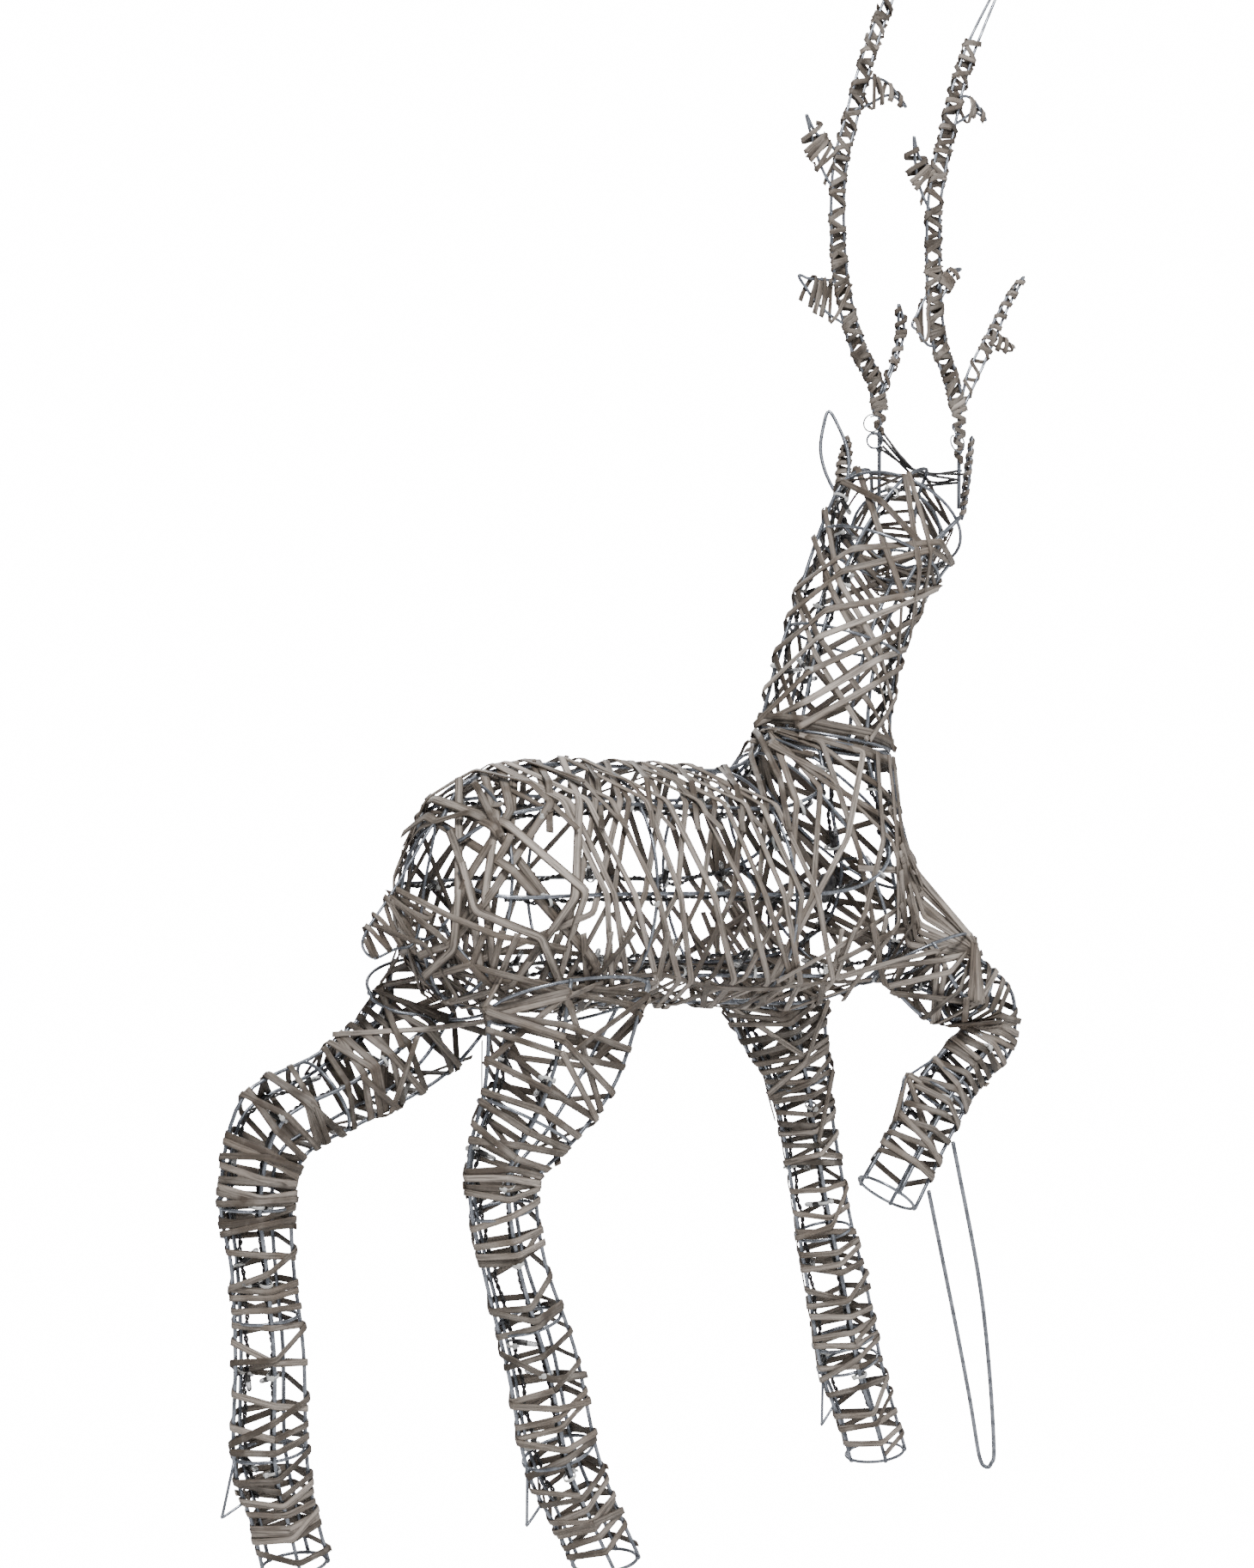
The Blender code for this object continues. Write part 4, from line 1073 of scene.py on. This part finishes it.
def leaf(foot, tip, wide):
    """A leaf-shaped loop."""
    foot, tip, wide = (np.array(v) for v in (foot, tip, wide))
    loop = [foot + (tip - foot) * share + wide * half for share, half in (
        (0.0, 0.0), (0.25, 0.8), (0.55, 1.0), (0.85, 0.5), (1.0, 0.0), (0.85, -0.5),
        (0.55, -1.0), (0.25, -0.8))]
    return smooth(loop, 4, closed=True) + PLACE


def wrapped_loop(skin, loop, start, end, pitch, seed):
    """Winds a strip over part of a closed loop that is folded in half at its foot."""
    half = len(loop) // 2
    one, other = loop[:half + 1], np.concatenate((loop[:1], loop[:half - 1:-1]))
    a, b = int(start * half), int(end * half) + 1
    wrap(skin, one[a:b], other[a:b], pitch, np.random.default_rng(seed), 0.45)


def tail_ties(skin):
    """Strips that run from the tail on to the body's sides."""
    rng = np.random.default_rng(52)
    body = TUBES["body"]
    out = np.array((-1.0, 0.0, 0.3))
    for k, (x, z) in enumerate(((-0.294, 0.574), (-0.300, 0.568), (-0.316, 0.546))):
        for side in (1, -1):
            places = ((0.05, 180 + side * (62 - 22 * k)), (0.9, 180 + side * (70 - 25 * k)),
                      (1.7 - 0.4 * k, 180 + side * (66 - 30 * k)))
            folds = [np.array((x, side * 0.002, z)) + PLACE]
            folds += [body.point(u, angle, 0.006) for u, angle in places]
            outs = [out] + [body.outward(u, angle) for u, angle in places]
            lay(skin, folds, outs, rng, rng.uniform(0.3, 0.8))


def curls(skin, cable):
    """Leads from antler to antler over the head, and thin wire ends that curl at their feet."""
    rng = np.random.default_rng(97)
    feet = [np.array((beam[0][0], y, beam[0][1])) + PLACE for y, beam, _ in ANTLERS.values()]
    for k in range(5):
        start = feet[0] - (0, 0, 0.018 + 0.004 * k)
        end = feet[1] - (0, 0, 0.052 + 0.003 * k)
        sag = rng.uniform(0.008, 0.020)
        line = [start + (end - start) * share - (0, 0, sag * 4 * share * (1 - share))
                + rng.normal(0, 0.0025, 3) for share in (0.0, 0.3, 0.6, 1.0)]
        cable.wire(smooth(line, 8), CURL * 1.7, sides=6)
    for k in range(5):
        centre = feet[k % 2] - (rng.uniform(0.004, 0.012), 0, rng.uniform(0.01, 0.03))
        way = unit(rng.normal(size=3) * (0.5, 1, 0.3))
        side = flattened(np.array((0, 0, 1.0)), way)
        size = rng.uniform(0.005, 0.009)
        turn = (np.linspace(0, rng.uniform(0.7, 1.3), 22) * 2 * np.pi)[:, None]
        skin.wire(centre + (side * np.cos(turn) + np.cross(way, side) * np.sin(turn)) * size
                  + way * turn * 0.0008, CURL, sides=6)


# ---- the lamp string ---------------------------------------------------------------------
def twisted_pair(skin, line):
    """Two leads twisted round each other along a line."""
    length = lengths(line)
    spots = np.linspace(0, length[-1], int(length[-1] / LEAD_STEP))
    fine = resampled(line, length, spots)
    out = carried(fine)
    across = np.cross(out, tangents(fine))
    for side in (0.0, math.pi):
        turn = (2 * math.pi * spots / TWIST + side)[:, None]
        path = fine + (out * np.cos(turn) + across * np.sin(turn)) * LEAD
        skin.wire(path, LEAD, sides=5)


def lamp(sockets, bulbs, place, way):
    """A clear lamp in its socket, pointing some way."""
    r, s = SOCKET_RADIUS, SOCKET_LENGTH
    sockets.turned(place, way, [(0, 0.5 * r), (0.1 * s, 0.85 * r), (0.25 * s, 0.9 * r),
                                (0.3 * s, r), (0.95 * s, r), (s, 0.9 * r)], sides=10)
    foot = place + way * s
    b, h = LAMP_RADIUS, LAMP_LENGTH
    bulbs.turned(foot, way, [(-0.001, 0.95 * b), (0.1 * h, b), (0.7 * h, b), (0.88 * h, 0.8 * b),
                             (0.98 * h, 0.42 * b), (h, 0.1 * b)], sides=10)


def tie(skin, place, way, rng):
    """A cable tie round a wire and the string beside it: a loop, its head and a cut tail."""
    way = unit(way)
    side = flattened(rng.normal(size=3), way)
    across = np.cross(side, way)
    turn = np.arange(12) * 2 * np.pi / 12
    aside, up = side * np.cos(turn)[:, None], across * np.sin(turn)[:, None]
    loop = place + (aside * 1.25 + up) * TIE_REACH
    band = np.array(((0.0013, -0.0004), (0.0013, 0.0004), (-0.0013, 0.0004), (-0.0013, -0.0004)))
    skin.sweep(loop, aside + up, band, closed=True)
    head = place + side * TIE_REACH * 1.45
    skin.block(head, (way, across, side), (0.0021, 0.0020, 0.0016))
    tail = np.array([head + side * 0.001 + across * 0.001 * k for k in (0, 2, 4)])
    skin.sweep(tail, np.tile(side, (3, 1)), band * 0.9)


def string_along(cable, lamps, tube, angle, start, end, seed):
    """A run of the lamp string beside a wire, with its lamps and ties."""
    sockets, bulbs, ties = lamps
    rng = np.random.default_rng(seed)
    u = np.linspace(start, end, int(abs(end - start) * 8) + 2)
    wander = np.cumsum(rng.normal(0, 0.6, len(u)))
    lifts = -LEAD_INSET + 0.0015 * np.sin(np.arange(len(u)) * 1.7 + seed)
    line = smooth(tube.point(u, angle + 3.0 * np.sin(wander), lifts), 3)
    twisted_pair(cable, line)
    length = lengths(line)
    spot = LAMP_EVERY * 0.4
    while spot < length[-1]:
        k = min(int(np.searchsorted(length, spot)), len(line) - 2)
        way = unit(rng.normal(size=3))
        inward = unit(tube.at(np.interp(spot, length, np.linspace(start, end, len(line))))[0]
                      - line[k])
        lamp(sockets, bulbs, line[k], unit(way + 0.9 * inward))
        tie(ties, line[k] + (line[k + 1] - line[k]) * 0.5 - inward * LEAD_INSET / 2,
            line[k + 1] - line[k], rng)
        spot += LAMP_EVERY * rng.uniform(0.8, 1.2)


JUNCTIONS = [((0.100, -0.070, 0.560), 0.026), ((0.030, -0.085, 0.548), 0.015)]


def junction(cable, place, length):
    """A lump of taped splices in the string, with its leads bent out at both ends."""
    way = unit(np.array((-0.35, 0.1, -1.0)))
    shape = [(share * length, length * 0.30 * wide) for share, wide in (
        (-0.5, 0.5), (-0.4, 0.9), (-0.1, 1.0), (0.15, 0.85), (0.4, 0.9), (0.5, 0.5))]
    cable.turned(place, way, shape, sides=12, tone=0.3)
    for side in (-1, 1):
        end = place + way * side * length / 2
        cable.wire(smooth([end, end + way * side * 0.012 + (0.006, 0, 0),
                           end + way * side * 0.02 + (0.022, 0, 0.006 * side)], 5), LEAD * 1.2)


# ---- the pieces --------------------------------------------------------------------------
def wire_piece(name, path, radius, node, closed=False):
    """A piece that is one plain wire."""
    skin = Skin()
    skin.wire(path, radius, closed)
    piece(name, skin, STEEL, node)


def build():
    body, neck = TUBES["body"], TUBES["neck"]
    piece("body_cage", cage_wires(body, (0.0, 1.0, 2.5, 4.0, 5.5, 7.2, 9.0)), STEEL, "body_frame")
    piece("body_strips", body_strips(), RATTAN, "body_winding_inner", "body_winding_outer")
    piece("neck_and_head_cage", cage_wires(neck, (0.0, 1.5, 3.0, 4.2, 6.0, 8.0)), STEEL,
          "neck_and_head_frame")
    piece("neck_strips", neck_strips(), RATTAN, "neck_winding_inner", "neck_winding_outer")
    piece("muzzle_strips", muzzle_strips(), RATTAN, "muzzle_winding")
    lamps = sockets, bulbs, ties = Skin(), Skin(), Skin()
    for seed, name in enumerate(LEGS, 41):
        piece(name + "_cage", leg_wires(name), STEEL, name + "_frame")
        piece(name + "_strips", leg_strips(name, seed), RATTAN, name + "_winding")
        cable, end = Skin(), TUBES[name].last - 1.2
        string_along(cable, lamps, TUBES[name], 108.0, 0.3, end, seed * 3)
        string_along(cable, lamps, TUBES[name], 252.0, end, 0.3, seed * 3 + 1)
        piece(name + "_cable", cable, BLACK, name + "_lamp_cable")
    cable = Skin()
    for k, angle in enumerate((90.0, 270.0, 315.0, 45.0, 225.0, 135.0)):
        string_along(cable, lamps, body, angle, 0.9, 8.4, 71 + k)
    for place, size in JUNCTIONS:
        junction(cable, np.array(place) + PLACE, size)
    piece("body_cable", cable, BLACK, "body_lamp_cable")
    cable, ends = Skin(), Skin()
    for k, angle in enumerate((90.0, 330.0, 210.0, 30.0)):
        string_along(cable, lamps, neck, angle, 0.3, 4.4, 81 + k)
    curls(ends, cable)
    piece("neck_cable", cable, BLACK, "neck_lamp_cable")
    piece("lamp_sockets", sockets, BLACK)
    piece("clear_lamps", bulbs, CLEAR)
    piece("cable_ties", ties, NYLON)
    for seed, name in enumerate(ANTLERS, 61):
        piece(name + "_wires", antler_wires(name), STEEL, name + "_frame")
        piece(name + "_strips", antler_strips(name, seed), RATTAN,
              *[name + "_winding_%d" % k for k in (1, 2, 3, 4)])
    wire_piece("standing_prop_wire", smooth(PROP, 8) + PLACE, PIN * 1.1, "standing_prop")
    loop = smooth([(x, 0.0, z) for x, z in TAIL], 6, closed=True) + PLACE
    wire_piece("tail_wire", loop, ROD, "tail_frame", closed=True)
    leaves = Skin()
    wrapped_loop(leaves, loop, 0.35, 0.98, 0.012, 51)
    tail_ties(leaves)
    left, right = leaf(*EARS["left_ear"]), leaf(*EARS["right_ear"])
    wire_piece("left_ear_wire", left, ROD * 1.3, "left_ear_frame", closed=True)
    wrapped_loop(leaves, right, 0.1, 0.95, 0.009, 52)
    wire_piece("right_ear_wire", right, ROD, "right_ear_frame", closed=True)
    inner = leaf(*INNER_LEAF)
    leaves.wire(inner, ROD, closed=True, tone=0.1)
    wrapped_loop(leaves, inner, 0.05, 0.95, 0.008, 53)
    piece("ear_and_tail_strips", leaves, RATTAN)
    piece("head_curls", ends, STEEL)


# ---- studio ------------------------------------------------------------------------------
FLOOR_SIZE = 14.0
SEEN_WHITE = 16.0        # brightness of floor and backdrop where they are seen directly
WORLD_LIGHT = 0.36       # brightness of the light from all round
CAMERA_PLACE = (-1.6937, -2.3765, 0.81)
CAMERA_HEADING = 35.0    # degrees from +Y towards +X
CAMERA_DROP = 3.11       # degrees it looks down
LENS = 77.3
LIGHTS = [               # name, place, what it points at, size, power
    ("key", (-0.9, -1.9, 3.0), (0, 0, 0.6), 0.8, 150.0),
    ("fill", (2.2, -1.2, 1.6), (0, 0, 0.6), 1.6, 20.0),
    ("back", (1.2, 2.8, 2.4), (0, 0, 0.7), 1.4, 75.0),
]


def seen_white(sheet, kind, lit, output):
    """A shader that lights the figure as it is and is plain white where it is seen directly."""
    seen = sheet.add(kind, Strength=SEEN_WHITE)
    path = sheet.add("ShaderNodeLightPath")
    mix = sheet.add("ShaderNodeMixShader")
    sheet.join(path.outputs["Is Camera Ray"], mix.inputs[0])
    sheet.join(lit.outputs[0], mix.inputs[1])
    sheet.join(seen.outputs[0], mix.inputs[2])
    sheet.join(mix.outputs[0], output.inputs["Surface"])
    return seen


def soft_light(name, place, aim, size, power):
    data = bpy.data.lights.new(name, "AREA")
    data.shape = "DISK"
    data.size = size
    data.energy = power
    made = placed_object(name, data)
    made.location = place
    way = unit(np.array(aim, float) - np.array(place, float))
    made.rotation_euler = (math.acos(-way[2]), 0.0, math.atan2(-way[0], way[1]))


def studio():
    mesh = bpy.data.meshes.new("floor")
    half = FLOOR_SIZE / 2
    mesh.from_pydata([(-half, -half, 0), (half, -half, 0), (half, half, 0), (-half, half, 0)],
                     [], [(0, 1, 2, 3)])
    floor = placed_object("floor", mesh)
    made, s, shader = finish("pale_floor", Roughness=0.9)
    dust = placed(s, WEATHER, Scale=3.0, Amount=0.3)
    s.join(s.mix(dust.outputs["Mask"], (0.86, 0.86, 0.86, 1), (0.84, 0.84, 0.84, 1)),
           shader.inputs["Base Color"])
    seen_white(s, "ShaderNodeEmission", shader, made.node_tree.nodes["Material Output"])
    mesh.materials.append(made)

    world = bpy.data.worlds.new("studio")
    world.use_nodes = True
    nodes = world.node_tree.nodes
    lit = nodes["Background"]
    lit.inputs["Strength"].default_value = WORLD_LIGHT
    seen = seen_white(Sheet(world.node_tree), "ShaderNodeBackground", lit, nodes["World Output"])
    for background in (lit, seen):
        background.inputs["Color"].default_value = (1, 1, 1, 1)
    bpy.context.scene.world = world

    for light in LIGHTS:
        soft_light(*light)

    data = bpy.data.cameras.new("camera")
    data.lens = LENS
    data.sensor_width = 36.0
    camera = placed_object("camera", data)
    camera.location = CAMERA_PLACE
    camera.rotation_euler = (math.radians(90.0 - CAMERA_DROP), 0.0, math.radians(-CAMERA_HEADING))
    bpy.context.scene.camera = camera


build()
studio()

bpy.context.view_layer.update()
